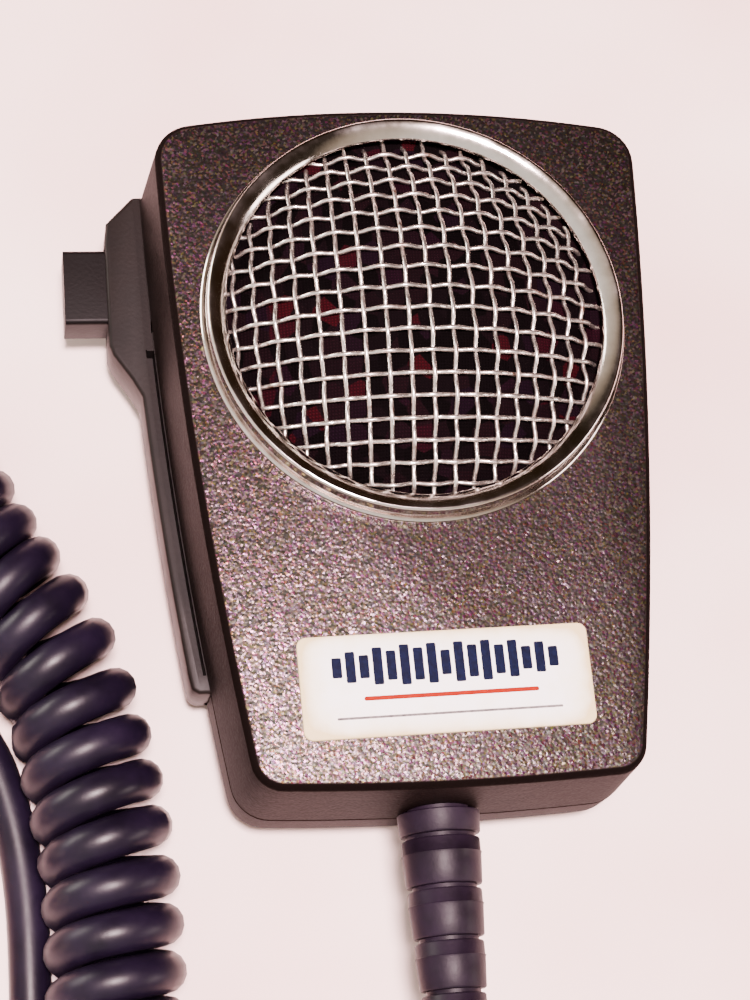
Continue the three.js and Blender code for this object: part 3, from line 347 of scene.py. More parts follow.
# Zinc-plated steel: a cool grey metal with fine turning marks and a slight yellow bloom.
clouded_finish(
    "zinc_plated_steel", (2.5, 4, 0.6), ((0.3, "#8f8f8c"), (0.7, "#c3c1ba")), (0.3, 2, 0.5), (0.02, 0.5),
    (0.3, 0.75, 0.24, 0.42), Metallic=1.0,
)
# Rolled spring brass of the contacts: yellow, tarnished brown in patches.
clouded_finish(
    "spring_brass", (1.8, 5, 0.65), ((0.3, "#6f5023"), (0.6, "#bb9345")),
    rough=(0.3, 0.7, 0.5, 0.26), Metallic=1.0,
)
# Moulded brown phenolic: glossy and faintly streaked.
clouded_finish(
    "brown_phenolic", (3, 5, 0.7), ((0.3, "#3a2214"), (0.7, "#5e3b24")), relief=(0.02, 0.3),
    rough=(0.3, 0.7, 0.25, 0.38), IOR=1.6,
)
# Heat-shrunk PVC sleeve of a battery: glossy, a slightly clouded blue.
clouded_finish(
    "shrunk_blue_sleeve", (6, 3, 0.5), ((0.3, "#1d3c6a"), (0.7, "#2d558c")), (1.2, 3, 0.5), (0.03, 0.4),
    Roughness=0.3, Coat_Weight=0.3,
)
# Coloured PVC insulation: even red with a satin skin.
clouded_finish(
    "red_wire_insulation", (2, 3, 0.5), ((0.3, "#8e2219"), (0.7, "#b4372a")),
    relief=(0.02, 0.3), Roughness=0.4,
)
# The sheet on the table: a pale, faintly pink wash with a slight tooth.
clouded_finish(
    "pale_table_sheet", (70, 3, 0.5), ((0.3, "#ecc6be"), (0.7, "#ffeae4")), (1.2, 3, 0.5), (0.05, 0.3),
    Roughness=0.5,
)

SLOT_FINISH = {
    "case_paint": "pebbled_metallic_paint",
    "grille_chrome": "chromium_plate",
    "plug_nickel": "nickel_plated_brass",
    "screen_cloth": "dark_screen_cloth",
    "plate_enamel": "lacquered_cream_plate",
    "switch_plastic": "moulded_olive_plastic",
    "part_black": "moulded_black_plastic",
    "soft_rubber": "moulded_black_rubber",
    "cord_jacket": "extruded_cord_jacket",
    "board_laminate": "phenolic_laminate",
    "brown_plastic": "brown_phenolic",
    "battery_sleeve": "shrunk_blue_sleeve",
    "wire_jacket": "red_wire_insulation",
    "contact_brass": "spring_brass",
    "plated_steel": "zinc_plated_steel",
}


def wear_finish(piece, name):
    """Puts one finish on a piece."""
    piece.data.materials.clear()
    piece.data.materials.append(bpy.data.materials[name])


# ---------------------------------------------------------------- Modelling helpers
def deselect():
    """Leaves edit mode, with nothing selected."""
    if bpy.context.object is not None and bpy.context.object.mode != "OBJECT":
        bpy.ops.object.mode_set(mode="OBJECT")
    bpy.ops.object.select_all(action="DESELECT")


def take(piece):
    """Selects one piece alone."""
    deselect()
    bpy.context.view_layer.objects.active = piece
    piece.select_set(True)


def work_on(piece):
    """Goes into edit mode on one piece, with nothing on it selected."""
    take(piece)
    bpy.ops.object.mode_set(mode="EDIT")
    bpy.ops.mesh.select_all(action="DESELECT")


def settle(piece):
    """Puts a piece's place, turn and size into its mesh."""
    take(piece)
    bpy.ops.object.transform_apply(location=True, rotation=True, scale=True)


def named(name):
    """Names the piece that was just added, and settles it."""
    piece = bpy.context.object
    piece.name = piece.data.name = name
    settle(piece)
    return piece


def modify(piece, kind, **settings):
    """Adds a modifier and applies it."""
    take(piece)
    modifier = piece.modifiers.new(kind.title(), kind)
    for name, value in settings.items():
        setattr(modifier, name, value)
    bpy.ops.object.modifier_apply(modifier=modifier.name)


def cut_away(piece, *tools):
    """Takes the tools' shapes out of a piece."""
    for tool in tools:
        modify(piece, "BOOLEAN", operation="DIFFERENCE", solver="EXACT", object=tool)
        bpy.data.objects.remove(tool)


def weld_on(piece, *others):
    """Joins other closed shapes to a piece as one body."""
    for other in others:
        modify(piece, "BOOLEAN", operation="UNION", solver="EXACT", object=other)
        bpy.data.objects.remove(other)


def round_edges(piece, width, segments=3, angle=35):
    """Rounds the sharp edges of a piece."""
    modify(
        piece, "BEVEL", width=width * MM, segments=segments, limit_method="ANGLE",
        angle_limit=math.radians(angle), use_clamp_overlap=True,
    )


def smooth(piece, angle=40):
    """Smooth shading, except across edges sharper than an angle."""
    take(piece)
    bpy.ops.object.shade_smooth_by_angle(angle=math.radians(angle))


def block(name, low, high):
    """A block between two corners, in millimetres."""
    middle = [(a + b) / 2 for a, b in zip(low, high)]
    size = [(b - a) * MM for a, b in zip(low, high)]
    deselect()
    bpy.ops.mesh.primitive_cube_add(size=1, location=at(*middle))
    bpy.context.object.scale = size
    return named(name)


AXIS_TURN = {"x": (0, math.pi / 2, 0), "y": (-math.pi / 2, 0, 0), "z": (0, 0, 0)}
AXIS_LINE = {"x": Vector((1, 0, 0)), "y": Vector((0, 1, 0)), "z": Vector((0, 0, 1))}


def bar(name, axis, start, length, radius, sides=32):
    """A round bar from a point, along x, y or z."""
    middle = at(*start) + AXIS_LINE[axis] * length * MM / 2
    deselect()
    bpy.ops.mesh.primitive_cylinder_add(
        vertices=sides, radius=radius * MM, depth=abs(length) * MM, location=middle, rotation=AXIS_TURN[axis]
    )
    return named(name)


def turned(name, foot, axis, profile, steps=64):
    """A piece turned on a lathe: a point drawn out along a profile of (radius, distance along the
    axis) pairs, spun about the axis from its foot. The profile is closed, or ends on the axis."""
    line = AXIS_LINE[axis]
    out = AXIS_LINE["x"] if axis != "x" else AXIS_LINE["y"]
    places = [at(*foot) + (out * radius + line * along) * MM for radius, along in profile]
    deselect()
    bpy.ops.mesh.primitive_plane_add(size=0.001, location=places[0])
    piece = named(name)
    work_on(piece)
    bpy.ops.mesh.select_all(action="SELECT")
    bpy.ops.mesh.merge(type="CENTER")
    bpy.ops.mesh.select_mode(type="VERT")
    bpy.ops.mesh.select_all(action="SELECT")
    for before, after in zip(places, places[1:]):
        bpy.ops.mesh.extrude_region_move(TRANSFORM_OT_translate={"value": after - before})
    bpy.ops.mesh.select_all(action="SELECT")
    bpy.ops.mesh.spin(steps=steps, angle=2 * math.pi, center=at(*foot), axis=line)
    bpy.ops.mesh.select_all(action="SELECT")
    bpy.ops.mesh.remove_doubles(threshold=0.002 * MM)
    bpy.ops.mesh.normals_make_consistent(inside=False)
    deselect()
    return piece


def round_lines(name, radius, resolution, lines):
    """Round lines of one thickness, each through its own places, as one curve."""
    data = bpy.data.curves.new(name, "CURVE")
    data.dimensions = "3D"
    data.bevel_depth = radius * MM
    data.bevel_resolution = resolution
    data.use_fill_caps = True
    for places in lines:
        spline = data.splines.new("POLY")
        spline.points.add(len(places) - 1)
        for point, place in zip(spline.points, places):
            point.co = (*place, 1)
        spline.use_smooth = True
    piece = bpy.data.objects.new(name, data)
    bpy.context.scene.collection.objects.link(piece)
    return piece


def copy_of(node, name):
    """A new piece from a CAD piece's shape, with its triangles merged into clean faces."""
    piece = bpy.data.objects.new(name, frame["nodes"][node].data.copy())
    piece.data.name = name
    bpy.context.scene.collection.objects.link(piece)
    work_on(piece)
    bpy.ops.mesh.select_all(action="SELECT")
    bpy.ops.mesh.remove_doubles(threshold=0.001 * MM)
    bpy.ops.mesh.dissolve_limited(angle_limit=math.radians(0.6))
    deselect()
    return piece


def done(piece, body, finish, slot, *nodes):
    """Finishes a piece: its material, the body it rides on and the CAD pieces it stands for."""
    settle(piece)
    wear_finish(piece, finish)
    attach(piece, body)
    if nodes:
        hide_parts(*nodes)
    return piece


# ---------------------------------------------------------------- Cord
# The route's points, in metres, from the tip of the strain relief to the plug.
LEAD_ROUTE = [
    (0, -0.1002, 0.016), (0, -0.105, 0.0156), (-0.0005, -0.11, 0.0138), (-0.0022, -0.1156, 0.0108),
    (-0.0054, -0.121, 0.0073), (-0.0106, -0.1258, 0.0044), (-0.0174, -0.1286, 0.0031),
    (-0.025, -0.1286, 0.00285), (-0.032, -0.1257, 0.00285), (-0.0374, -0.12, 0.00285),
    (-0.0407, -0.113, 0.00285), (-0.042, -0.1065, 0.00285), (-0.0421, -0.1016, 0.00285),
]
COIL_ROUTE = [
    (-0.0421, -0.1012, 0.0093), (-0.0421, -0.092, 0.0093), (-0.0421, -0.083, 0.0093),
    (-0.0421, -0.074, 0.0093), (-0.0425, -0.066, 0.0093), (-0.0437, -0.058, 0.0093),
    (-0.0453, -0.05, 0.0093), (-0.0476, -0.0422, 0.0093), (-0.0514, -0.0346, 0.0093),
    (-0.0562, -0.0274, 0.0093), (-0.0608, -0.0196, 0.0093), (-0.0648, -0.011, 0.0093),
    (-0.0694, -0.0026, 0.0093), (-0.076, 0.0044, 0.0093), (-0.0848, 0.008, 0.0093),
    (-0.094, 0.0066, 0.0093), (-0.1014, 0.0006, 0.0093), (-0.1056, -0.008, 0.0093),
    (-0.1072, -0.018, 0.0093), (-0.1075, -0.03, 0.0093), (-0.1075, -0.045, 0.0093),
    (-0.1075, -0.06, 0.0093), (-0.1075, -0.075, 0.0093), (-0.1075, -0.09, 0.0093),
]
TAIL_ROUTE = [
    (-0.1075, -0.0904, 0.00285), (-0.1074, -0.097, 0.00285), (-0.106, -0.1045, 0.00285),
    (-0.1016, -0.1115, 0.00285), (-0.0946, -0.116, 0.00285), (-0.086, -0.1178, 0.00285),
    (-0.077, -0.1172, 0.00285), (-0.0684, -0.1136, 0.00285), (-0.0608, -0.1072, 0.00285),
    (-0.0554, -0.0986, 0.00285), (-0.0531, -0.089, 0.00285), (-0.0527, -0.079, 0.00285),
    (-0.053, -0.069, 0.00285), (-0.0543, -0.06, 0.00285), (-0.0568, -0.0516, 0.00285),
    (-0.0612, -0.0444, 0.00285), (-0.0676, -0.0396, 0.003), (-0.0744, -0.0389, 0.0042),
    (-0.0794, -0.0426, 0.0066), (-0.0814, -0.0484, 0.0088), (-0.0817, -0.0543, 0.0096),
]


def smooth_line(points, step):
    """A smooth line through points, cut into steps of one length."""
    points = [Vector(p) for p in points]
    ends = [points[0] * 2 - points[1], *points, points[-1] * 2 - points[-2]]
    fine = []
    for a, b, c, d in zip(ends, ends[1:], ends[2:], ends[3:]):
        for i in range(40):
            t = i / 40
            square, cube = 2 * a - 5 * b + 4 * c - d, 3 * b - a - 3 * c + d
            fine.append(0.5 * (2 * b + (c - a) * t + square * t * t + cube * t**3))
    fine.append(points[-1])
    total = sum((q - p).length for p, q in zip(fine, fine[1:]))
    count = max(2, round(total / step))
    line, gone, goal = [fine[0]], 0.0, total / count
    for p, q in zip(fine, fine[1:]):
        span = (q - p).length
        while gone + span >= goal - 1e-12 and len(line) < count:
            line.append(p.lerp(q, (goal - gone) / span))
            goal += total / count
        gone += span
    return [*line, fine[-1]]


def curl(route):
    """The curled stretch: turns that touch on the inside of each bend and open on its outside.
    It starts and ends on the table, running along the coil."""
    step, up = 0.25 * MM, Vector((0, 0, 1))
    line = smooth_line(route, step)
    ways = [(line[min(i + 8, len(line) - 1)] - line[max(i - 8, 0)]).normalized() for i in range(len(line))]
    bends = []
    for i in range(len(ways)):
        low, high = max(i - 20, 0), min(i + 20, len(ways) - 1)
        bends.append(ways[low].angle(ways[high]) / ((high - low) * step))
    rates = []
    for i, bend in enumerate(bends):
        pitch = max(COIL_PITCH * MM, 1.02 * CORD_DIAMETER * MM / (1 - COIL_RADIUS * MM * bend))
        near_end = min(i, len(line) - 1 - i) * step / (8 * MM)
        rates.append(min(1, near_end + 0.02) * 2 * math.pi / pitch)
    total = sum(rates) * step
    whole = round(total / (2 * math.pi)) * 2 * math.pi
    turned_by, points, last = 0.0, [], -1.0
    for place, way, rate in zip(line, ways, rates):
        if turned_by - last > 2 * math.pi / 24 or not points:
            outward = up.cross(way) * math.sin(turned_by) - up * math.cos(turned_by)
            points.append(place + COIL_RADIUS * MM * outward)
            last = turned_by
        turned_by += rate * step * whole / total
    return points


def lay_cord():
    """The whole cord in one line: out of the strain relief, down to the table, the curled part,
    and back beside it to the plug."""
    lead = smooth_line(LEAD_ROUTE, 2.5 * MM)
    tail = smooth_line(TAIL_ROUTE, 2.5 * MM)
    inside_sleeve = lead[0] + Vector((0, 0.0007, 0))
    places = [inside_sleeve, *lead[:-2], *curl(COIL_ROUTE), *tail[2:]]
    cord = round_lines("curly_cord", CORD_DIAMETER / 2, 5, [[place + ORIGIN for place in places]])
    wear_finish(cord, "extruded_cord_jacket")
    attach(cord, "case")
    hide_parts("cord_lead", "cord_coil", "cord_tail")
    length = sum((b - a).length for a, b in zip(places, places[1:]))
    print("cord centreline", round(length, 3), "m,", len(places), "points")
    return cord


cord = lay_cord()


# ---------------------------------------------------------------- Case outline
def half_width(y):
    """Half the width of the case at a height, through its three stated widths."""
    top = TOP_HALF * y * (y - BOTTOM_Y) / (TOP_Y * (TOP_Y - BOTTOM_Y))
    middle = MIDDLE_HALF * (y - TOP_Y) * (y - BOTTOM_Y) / (TOP_Y * BOTTOM_Y)
    bottom = BOTTOM_HALF * y * (y - TOP_Y) / (BOTTOM_Y * (BOTTOM_Y - TOP_Y))
    return top + middle + bottom


def side_slope(y):
    return (half_width(y + 0.01) - half_width(y - 0.01)) / 0.02


def end_height(end, x):
    """The bowed top (end = 1) or bottom (end = -1) edge."""
    if end > 0:
        return TOP_Y - TOP_BOW * (x / TOP_HALF) ** 2
    return BOTTOM_Y + BOTTOM_BOW * (x / BOTTOM_HALF) ** 2


def end_slope(end, x):
    return -2 * TOP_BOW * x / TOP_HALF**2 if end > 0 else 2 * BOTTOM_BOW * x / BOTTOM_HALF**2


def corner(end):
    """A corner's middle, and the angles where its arc meets the side and the end."""
    radius = TOP_CORNER if end > 0 else BOTTOM_CORNER
    x = (TOP_HALF if end > 0 else BOTTOM_HALF) - radius
    y = end_height(end, x) - end * radius
    for _ in range(20):
        x = half_width(y) - radius * math.hypot(1, side_slope(y))
        y = end_height(end, x) - end * radius * math.hypot(1, end_slope(end, x))
    return x, y, radius, math.atan2(-side_slope(y), 1), math.atan2(end, -end * end_slope(end, x))


def case_outline(offset, arc_steps=8, side_steps=24, end_steps=8):
    """The outline of the case seen from the front, moved outwards by an offset."""
    right = []

    def point(x, y, normal_x, normal_y):
        size = math.hypot(normal_x, normal_y)
        right.append((x + offset * normal_x / size, y + offset * normal_y / size))

    def arc(turning, start, stop):
        for i in range(arc_steps + 1):
            angle = start + (stop - start) * i / arc_steps
            across, along = math.cos(angle), math.sin(angle)
            point(turning[0] + turning[2] * across, turning[1] + turning[2] * along, across, along)

    low, high = corner(-1), corner(1)
    low_x = low[0] + low[2] * math.cos(low[4])
    high_x = high[0] + high[2] * math.cos(high[4])
    for i in range(end_steps):
        x = low_x * i / end_steps
        point(x, end_height(-1, x), end_slope(-1, x), -1)
    arc(low, low[4], low[3])
    low_y = low[1] + low[2] * math.sin(low[3])
    high_y = high[1] + high[2] * math.sin(high[3])
    for i in range(1, side_steps):
        y = low_y + (high_y - low_y) * i / side_steps
        point(half_width(y), y, 1, -side_slope(y))
    arc(high, high[3], high[4])
    for i in range(1, end_steps + 1):
        x = high_x * (1 - i / end_steps)
        point(x, end_height(1, x), -end_slope(1, x), 1)
    return [*right, *[(-x, y) for x, y in reversed(right[1:-1])]]


def drawn_up(name, levels):
    """A closed block drawn up, level by level, through outlines of as many points each.
    A level is (outline, height)."""
    first, base = levels[0]
    deselect()
    bpy.ops.mesh.primitive_circle_add(
        vertices=len(first), radius=0.02, fill_type="NGON", location=at(0, 0, base)
    )
    piece = named(name)
    work_on(piece)
    mesh = bmesh.from_edit_mesh(piece.data)
    ring = mesh.verts.layers.int.new("ring")
    mesh.verts.ensure_lookup_table()
    for i, vertex in enumerate(mesh.verts):
        vertex[ring] = i
    bpy.ops.mesh.select_all(action="SELECT")
    for number, (outline, height) in enumerate(levels):
        if number:
            bpy.ops.mesh.extrude_region_move(TRANSFORM_OT_translate={"value": (0, 0, MM)})
        mesh = bmesh.from_edit_mesh(piece.data)
        ring = mesh.verts.layers.int["ring"]
        for vertex in mesh.verts:
            if vertex.select:
                vertex.co = at(*outline[vertex[ring]], height)
        bmesh.update_edit_mesh(piece.data)
    mesh = bmesh.from_edit_mesh(piece.data)
    mesh.verts.layers.int.remove(mesh.verts.layers.int["ring"])
    bmesh.update_edit_mesh(piece.data)
    bpy.ops.mesh.select_all(action="SELECT")
    bpy.ops.mesh.normals_make_consistent(inside=False)
    deselect()
    return piece


def case_block(name, levels, **steps):
    """A block with the case's outline, through levels of (offset, height)."""
    return drawn_up(name, [(case_outline(offset, **steps), height) for offset, height in levels])


def rounded(width, height, radius, steps=6, middle=(0, 0), turn=0.0):
    """The outline of a rounded rectangle, about its middle, turned by an angle in degrees."""
    points = []
    for quarter in range(4):
        across, along = (1, 1, -1, -1)[quarter], (-1, 1, 1, -1)[quarter]
        x, y = across * (width / 2 - radius), along * (height / 2 - radius)
        for i in range(steps + 1):
            angle = math.radians(-90 + 90 * quarter + 90 * i / steps)
            points.append((x + radius * math.cos(angle), y + radius * math.sin(angle)))
    c, s = math.cos(math.radians(turn)), math.sin(math.radians(turn))
    return [(middle[0] + x * c - y * s, middle[1] + x * s + y * c) for x, y in points]


# ---------------------------------------------------------------- Case
CASE_SCREWS = [(23, TOP_Y - 6), (-23, TOP_Y - 6), (18.8, BOTTOM_Y + 3.8), (-18.8, BOTTOM_Y + 3.8)]
BATTERY_Y = BOTTOM_Y + 17
STUD_Y = 12
WHEEL_X, WHEEL_Y, WHEEL_Z, WHEEL_RADIUS = 12, -24, 13.2, 10
WHEEL_STEPS = 144  # round the wheel's rim; four of them make one rib
BUTTON_Y = 12.4
PARTING_BEVEL = 0.28
CORD_Z = 16
POSTS = [(-12.6, -38.4), (12.6, -38.4)]  # that carry the circuit board
COVER_SCREWS = [(-19.8, BATTERY_Y), (19.8, BATTERY_Y)]


def relief_hole():
    return bar("relief_hole_tool", "y", (0, BOTTOM_Y - 6, CORD_Z), 12, 4.3)


def make_front_shell():
    """The front half: walls that lean in towards the face, a rounded edge, and the posts inside."""
    lean = (EDGE_RADIUS * 0.3 - FLARE) / (FACE_Z - EDGE_RADIUS - PARTING_Z)
    levels = [(FLARE - PARTING_BEVEL, PARTING_Z), (FLARE + lean * PARTING_BEVEL, PARTING_Z + PARTING_BEVEL)]
    for i in range(1, 5):
        rise = (FACE_Z - EDGE_RADIUS - PARTING_Z) * i / 4
        levels.append((FLARE + lean * rise, PARTING_Z + rise))
    for i in range(1, 7):
        angle = math.pi / 2 * i / 6
        levels.append(
            (EDGE_RADIUS * (math.cos(angle) - 0.7), FACE_Z - EDGE_RADIUS + EDGE_RADIUS * math.sin(angle))
        )
    shell = case_block("case_front", levels)
    inside = [(FLARE - WALL, PARTING_Z - 1), (EDGE_RADIUS * 0.3 - WALL, FACE_Z - WALL)]
    cut_away(shell, case_block("hollow_tool", inside))
    bosses = [bar("boss_tool", "z", (x, y, 9.1), 18.4, 2.6) for x, y in CASE_SCREWS]
    posts = [bar("post_tool", "z", (x, y, 22.2), 5.3, 2) for x, y in POSTS]
    weld_on(shell, *bosses, *posts)
    holes = [bar("screw_hole_tool", "z", (x, y, 4), 15, 1.55) for x, y in CASE_SCREWS]
    holes += [bar("post_hole_tool", "z", (x, y, 21), 4.4, 0.8) for x, y in POSTS]
    mouth, wheel_start = RING_RADIUS - RING_WIDTH - 0.6, (WHEEL_X - 2.05, WHEEL_Y, WHEEL_Z)
    opening = bar("opening_tool", "z", (0, 0, FACE_Z - WALL - 1), WALL + 3, mouth, 96)
    wheel_room = bar("wheel_room_tool", "x", wheel_start, 4.1, WHEEL_RADIUS + 0.35, 64)
    cut_away(shell, opening, relief_hole(), wheel_room, *holes)
    smooth(shell, 35)
    return done(shell, "case", "pebbled_metallic_paint", "case_paint", "front_shell")


def bezel_outline(inset, grow):
    """The bezel seen from the front: the block round the button, then a thin rail down the side."""
    rows = 14
    block_x, rail_end, toe = -39.4, -46, -4.2

    def side(y):
        return -(half_width(y) + FLARE)

    steps = [toe + (rail_end - toe) * i / rows for i in range(rows)]
    points = [
        (side(25.6) + inset, 25.6 + grow),
        (side(25.6) - 1 - grow, 25.6 + grow),
        (block_x + 0.3 - grow, 21.6 + grow),
        (block_x - grow, 18.6),
        (block_x - grow, 3.4),
        (block_x + 0.5 - grow, 1.9),
        (block_x + 1.5 - grow, 0.4),
        (block_x + 2.9 - grow, -1.7),
    ]
    points += [(side(y) - 2.4 - grow, y) for y in steps]
    points += [
        (side(rail_end) - 2.4 - grow, rail_end + 0.6),
        (side(rail_end) - 1.44 - grow, rail_end - grow),
        (side(rail_end) + inset, rail_end - grow),
    ]
    points += [(side(y) + inset, y) for y in reversed(steps)]
    return [*points, (side(BUTTON_Y) + inset, BUTTON_Y)]


def rear_levels(margin):
    full = FLARE + margin
    levels = []
    for i in range(7):
        angle = math.pi / 2 * i / 6
        inward, rise = REAR_RADIUS * (1 - math.sin(angle)), REAR_RADIUS * (1 - math.cos(angle))
        levels.append((full - inward, BACK_Z - margin + rise))
    return levels


def make_rear_shell():
    """The back half: a rounded dish with screw wells, a hatch for the battery, a slot for the
    gain wheel and the bed that the bezel lies in."""
    top = PARTING_Z - 0.1
    levels = [*rear_levels(0), (FLARE, top - PARTING_BEVEL), (FLARE - PARTING_BEVEL, top)]
    shell = case_block("case_back", levels)
    floor = BACK_Z + WALL
    inside = [(FLARE - WALL - 1, floor), (FLARE - WALL, floor + 1), (FLARE - WALL, top + 1)]
    cut_away(shell, case_block("hollow_tool", inside))
    pads = [bar("pad_tool", "z", (x, y, floor - 0.5), 3, 4) for x, y in CASE_SCREWS]
    pads += [bar("pad_tool", "z", (x, y, floor - 0.5), 4, 2.2) for x, y in COVER_SCREWS]
    pads += [bar("pad_tool", "z", (0, STUD_Y, floor - 0.5), 4, 3)]
    weld_on(shell, *pads)
    wells = [bar("well_tool", "z", (x, y, BACK_Z - 1), 2.8, 2.7, 40) for x, y in CASE_SCREWS]
    holes = [bar("hole_tool", "z", (x, y, BACK_Z + 1), 10, 1.7) for x, y in CASE_SCREWS]
    holes += [bar("hole_tool", "z", (x, y, BACK_Z - 1), 5, 0.9) for x, y in COVER_SCREWS]
    holes += [bar("hole_tool", "z", (0, STUD_Y, BACK_Z - 1), 5.6, 1.5)]
    half = math.sqrt(WHEEL_RADIUS**2 - (WHEEL_Z - floor) ** 2) + 0.8
    through = []
    for name, x, y, wide, tall in (
        ("hatch_tool", 0, BATTERY_Y, 18.1, 8.55), ("slot_tool", WHEEL_X, WHEEL_Y, 2.2, half)
    ):
        through.append(block(name, (x - wide, y - tall, BACK_Z - 1), (x + wide, y + tall, floor + 1)))
    bed_outline = bezel_outline(6.6, 0.3)
    bed = drawn_up("bed_tool", [(bed_outline, floor + 0.3), (bed_outline, top + 2)])
    cut_away(shell, relief_hole(), bed, *through, *wells, *holes)
    smooth(shell, 35)
    return done(shell, "case", "pebbled_metallic_paint", "case_paint", "rear_shell")


def make_bezel():
    """The dark plastic block round the button, with a rail whose inner side has a narrow groove."""
    outline = bezel_outline(2.6, 0)
    bezel = drawn_up("switch_bezel_moulding", [(outline, 4.9), (outline, PARTING_Z - 0.15)])
    round_edges(bezel, 0.55, 3, 40)
    ledge = case_block("ledge_tool", [*rear_levels(0.3), (FLARE + 0.3, BACK_Z + WALL + 0.6)])
    middle = (PARTING_Z - 0.15 + 4.9) / 2
    near, far, over = BUTTON_Y - 5.85, BUTTON_Y + 5.85, middle + 3.5
    window = block("window_tool", (-41.4, near, middle - 3.5), (-34.65, far, over))
    passage = block("passage_tool", (-41, near, 6.85), (0, far, over))
    collar = block("collar_tool", (-33.55, BUTTON_Y - 7.3, 6.5), (0, BUTTON_Y + 7.3, 13))
    grooves = []
    for high, low, wide, floor in ((26, 2.4, 1.0, 12.5), (2.5, -43.6, 1.2, 9.6)):
        rows = [high + (low - high) * i / 18 for i in range(19)]
        near = [(-(half_width(y) + FLARE) - 0.05, y) for y in rows]
        far = [(-(half_width(y) + FLARE) - wide, y) for y in reversed(rows)]
        grooves.append(drawn_up("groove_tool", [(near + far, floor), (near + far, 13.4)]))
    cut_away(bezel, ledge, window, passage, collar, *grooves)
    smooth(bezel, 35)
    return done(bezel, "case", "moulded_olive_plastic", "switch_plastic", "switch_bezel")


def make_button():
    """The push-to-talk button, a plain black block with softened edges."""
    button = copy_of("ptt_button", "talk_button")
    round_edges(button, 0.5, 4, 40)
    smooth(button, 35)
    return done(button, "button", "moulded_black_button", "part_black", "ptt_button")


# ---------------------------------------------------------------- Grille
# The height of the middle of the sphere that the wire is pressed to.
DOME_Z = FACE_Z + 1.4 - math.sqrt(DOME_RADIUS**2 - (RING_RADIUS - RING_WIDTH - 0.4) ** 2)
CLOTH_REACH, CLOTH_RIM = 24.2, 1.9
WIRE_REACH, WIRE_PITCH, WIRE_RADIUS, CRIMP = 25.7, 2.9, 0.31, 0.33


def make_ring():
    """The chromed ring: a thin foot, a narrow groove, then a rim whose broad inner face rolls down
    to the wire like a shallow funnel."""
    outer, inner = RING_RADIUS, RING_RADIUS - RING_WIDTH
    base, top = FACE_Z + 0.1, FACE_Z + RING_RISE
    profile = [(inner + 1.1, base), (outer - 0.1, base), (outer, base + 0.12), (outer, base + 0.7)]
    profile += [(outer - 0.12, base + 0.92), (outer - 0.32, base + 1.0), (outer - 0.5, base + 0.92)]
    profile += [(outer - 0.56, base + 0.6), (outer - 0.62, base + 0.5), (outer - 0.7, base + 0.7)]
    profile += [(outer - 0.72, top - 0.55), (outer - 0.8, top - 0.22), (outer - 0.95, top - 0.05)]
    # The funnel steepens from 8 degrees at the rim to 46 at the lip.
    across, steps = 2.25, 14
    slope_z = top
    for i in range(steps + 1):
        profile.append((outer - 1.12 - across * i / steps, slope_z))
        slope_z -= across / steps * math.tan(math.radians(8 + 38 * (i + 0.5) / steps))
    lip = profile[-1][1]
    profile += [(inner, lip - 0.12), (inner, lip - 0.3), (inner + 0.3, lip - 0.42)]
    profile += [(inner + 1.1, lip - 0.42), (inner + 1.1, base)]
    ring = turned("grille_rim", (0, 0, 0), "z", profile, 160)
    smooth(ring, 40)
    return done(ring, "case", "chromium_plate", "grille_chrome", "grille_ring")


def make_screen():
    """Dark cloth pressed to the same dome under the wire, with its flat rim held under the ring."""
    radius, thickness, steps = DOME_RADIUS - 1.4, 0.35, 14
    over = []
    for i in range(steps + 1):
        out = CLOTH_REACH * i / steps
        over.append((out, DOME_Z + math.sqrt(radius**2 - out**2)))
    profile = [(out, z - thickness) for out, z in over]
    bend, edge = CLOTH_REACH + 0.3, CLOTH_REACH + CLOTH_RIM
    profile += [(bend, FACE_Z + 0.03), (edge, FACE_Z + 0.03), (edge, FACE_Z + 0.25), (bend, FACE_Z + 0.25)]
    screen = turned("screen_cloth", (0, 0, 0), "z", profile + over[::-1], 96)
    smooth(screen, 40)
    return done(screen, "case", "dark_screen_cloth", "screen_cloth", "dust_screen")


def make_wire_cloth():
    """Woven wire pressed to a dome: two sets of round wires, 0.62 mm thick and 2.9 mm apart, each
    crimped over and under the other."""
    middle_radius = DOME_RADIUS - WIRE_RADIUS - CRIMP
    wires = []
    half = math.asin(WIRE_REACH / middle_radius) * middle_radius
    count = int(half / WIRE_PITCH) + 1
    for along_x in (True, False):
        for row in range(-count, count + 1):
            across = (row + 0.35 if along_x else row + 0.15) * WIRE_PITCH
            first_over = 1 if row % 2 == along_x else -1
            if abs(across) >= half - 1.2:
                continue
            places = []
            end = math.sqrt(half**2 - across**2)
            steps = int(2 * end / WIRE_PITCH * 9)
            for i in range(steps + 1):
                along = -end + 2 * end * i / steps
                flat = math.hypot(along, across)
                angle = flat / middle_radius
                wave = math.cos(math.pi * (along / WIRE_PITCH - (0.15 if along_x else 0.35)))
                lift = CRIMP * math.copysign(abs(wave) ** 0.8, wave) * first_over
                out = (middle_radius + lift) * math.sin(angle) / max(flat, 1e-6)
                x, y = (along, across) if along_x else (across, along)
                places.append(at(x * out, y * out, DOME_Z + (middle_radius + lift) * math.cos(angle)))
            wires.append(places)
    take(round_lines("wire_cloth", WIRE_RADIUS, 1, wires))
    bpy.ops.object.convert(target="MESH")
    cloth = bpy.context.object
    return done(cloth, "case", "chromed_wire", "grille_chrome", "grille_mesh")


# ---------------------------------------------------------------- Name plate
PLATE_Y, PLATE_Z, PLATE_TURN = BOTTOM_Y + 13, FACE_Z + 0.1, 1.0


def on_plate(x, y):
    """A point of the plate, from its own middle."""
    c, s = math.cos(math.radians(PLATE_TURN)), math.sin(math.radians(PLATE_TURN))
    return x * c - y * s, PLATE_Y + x * s + y * c


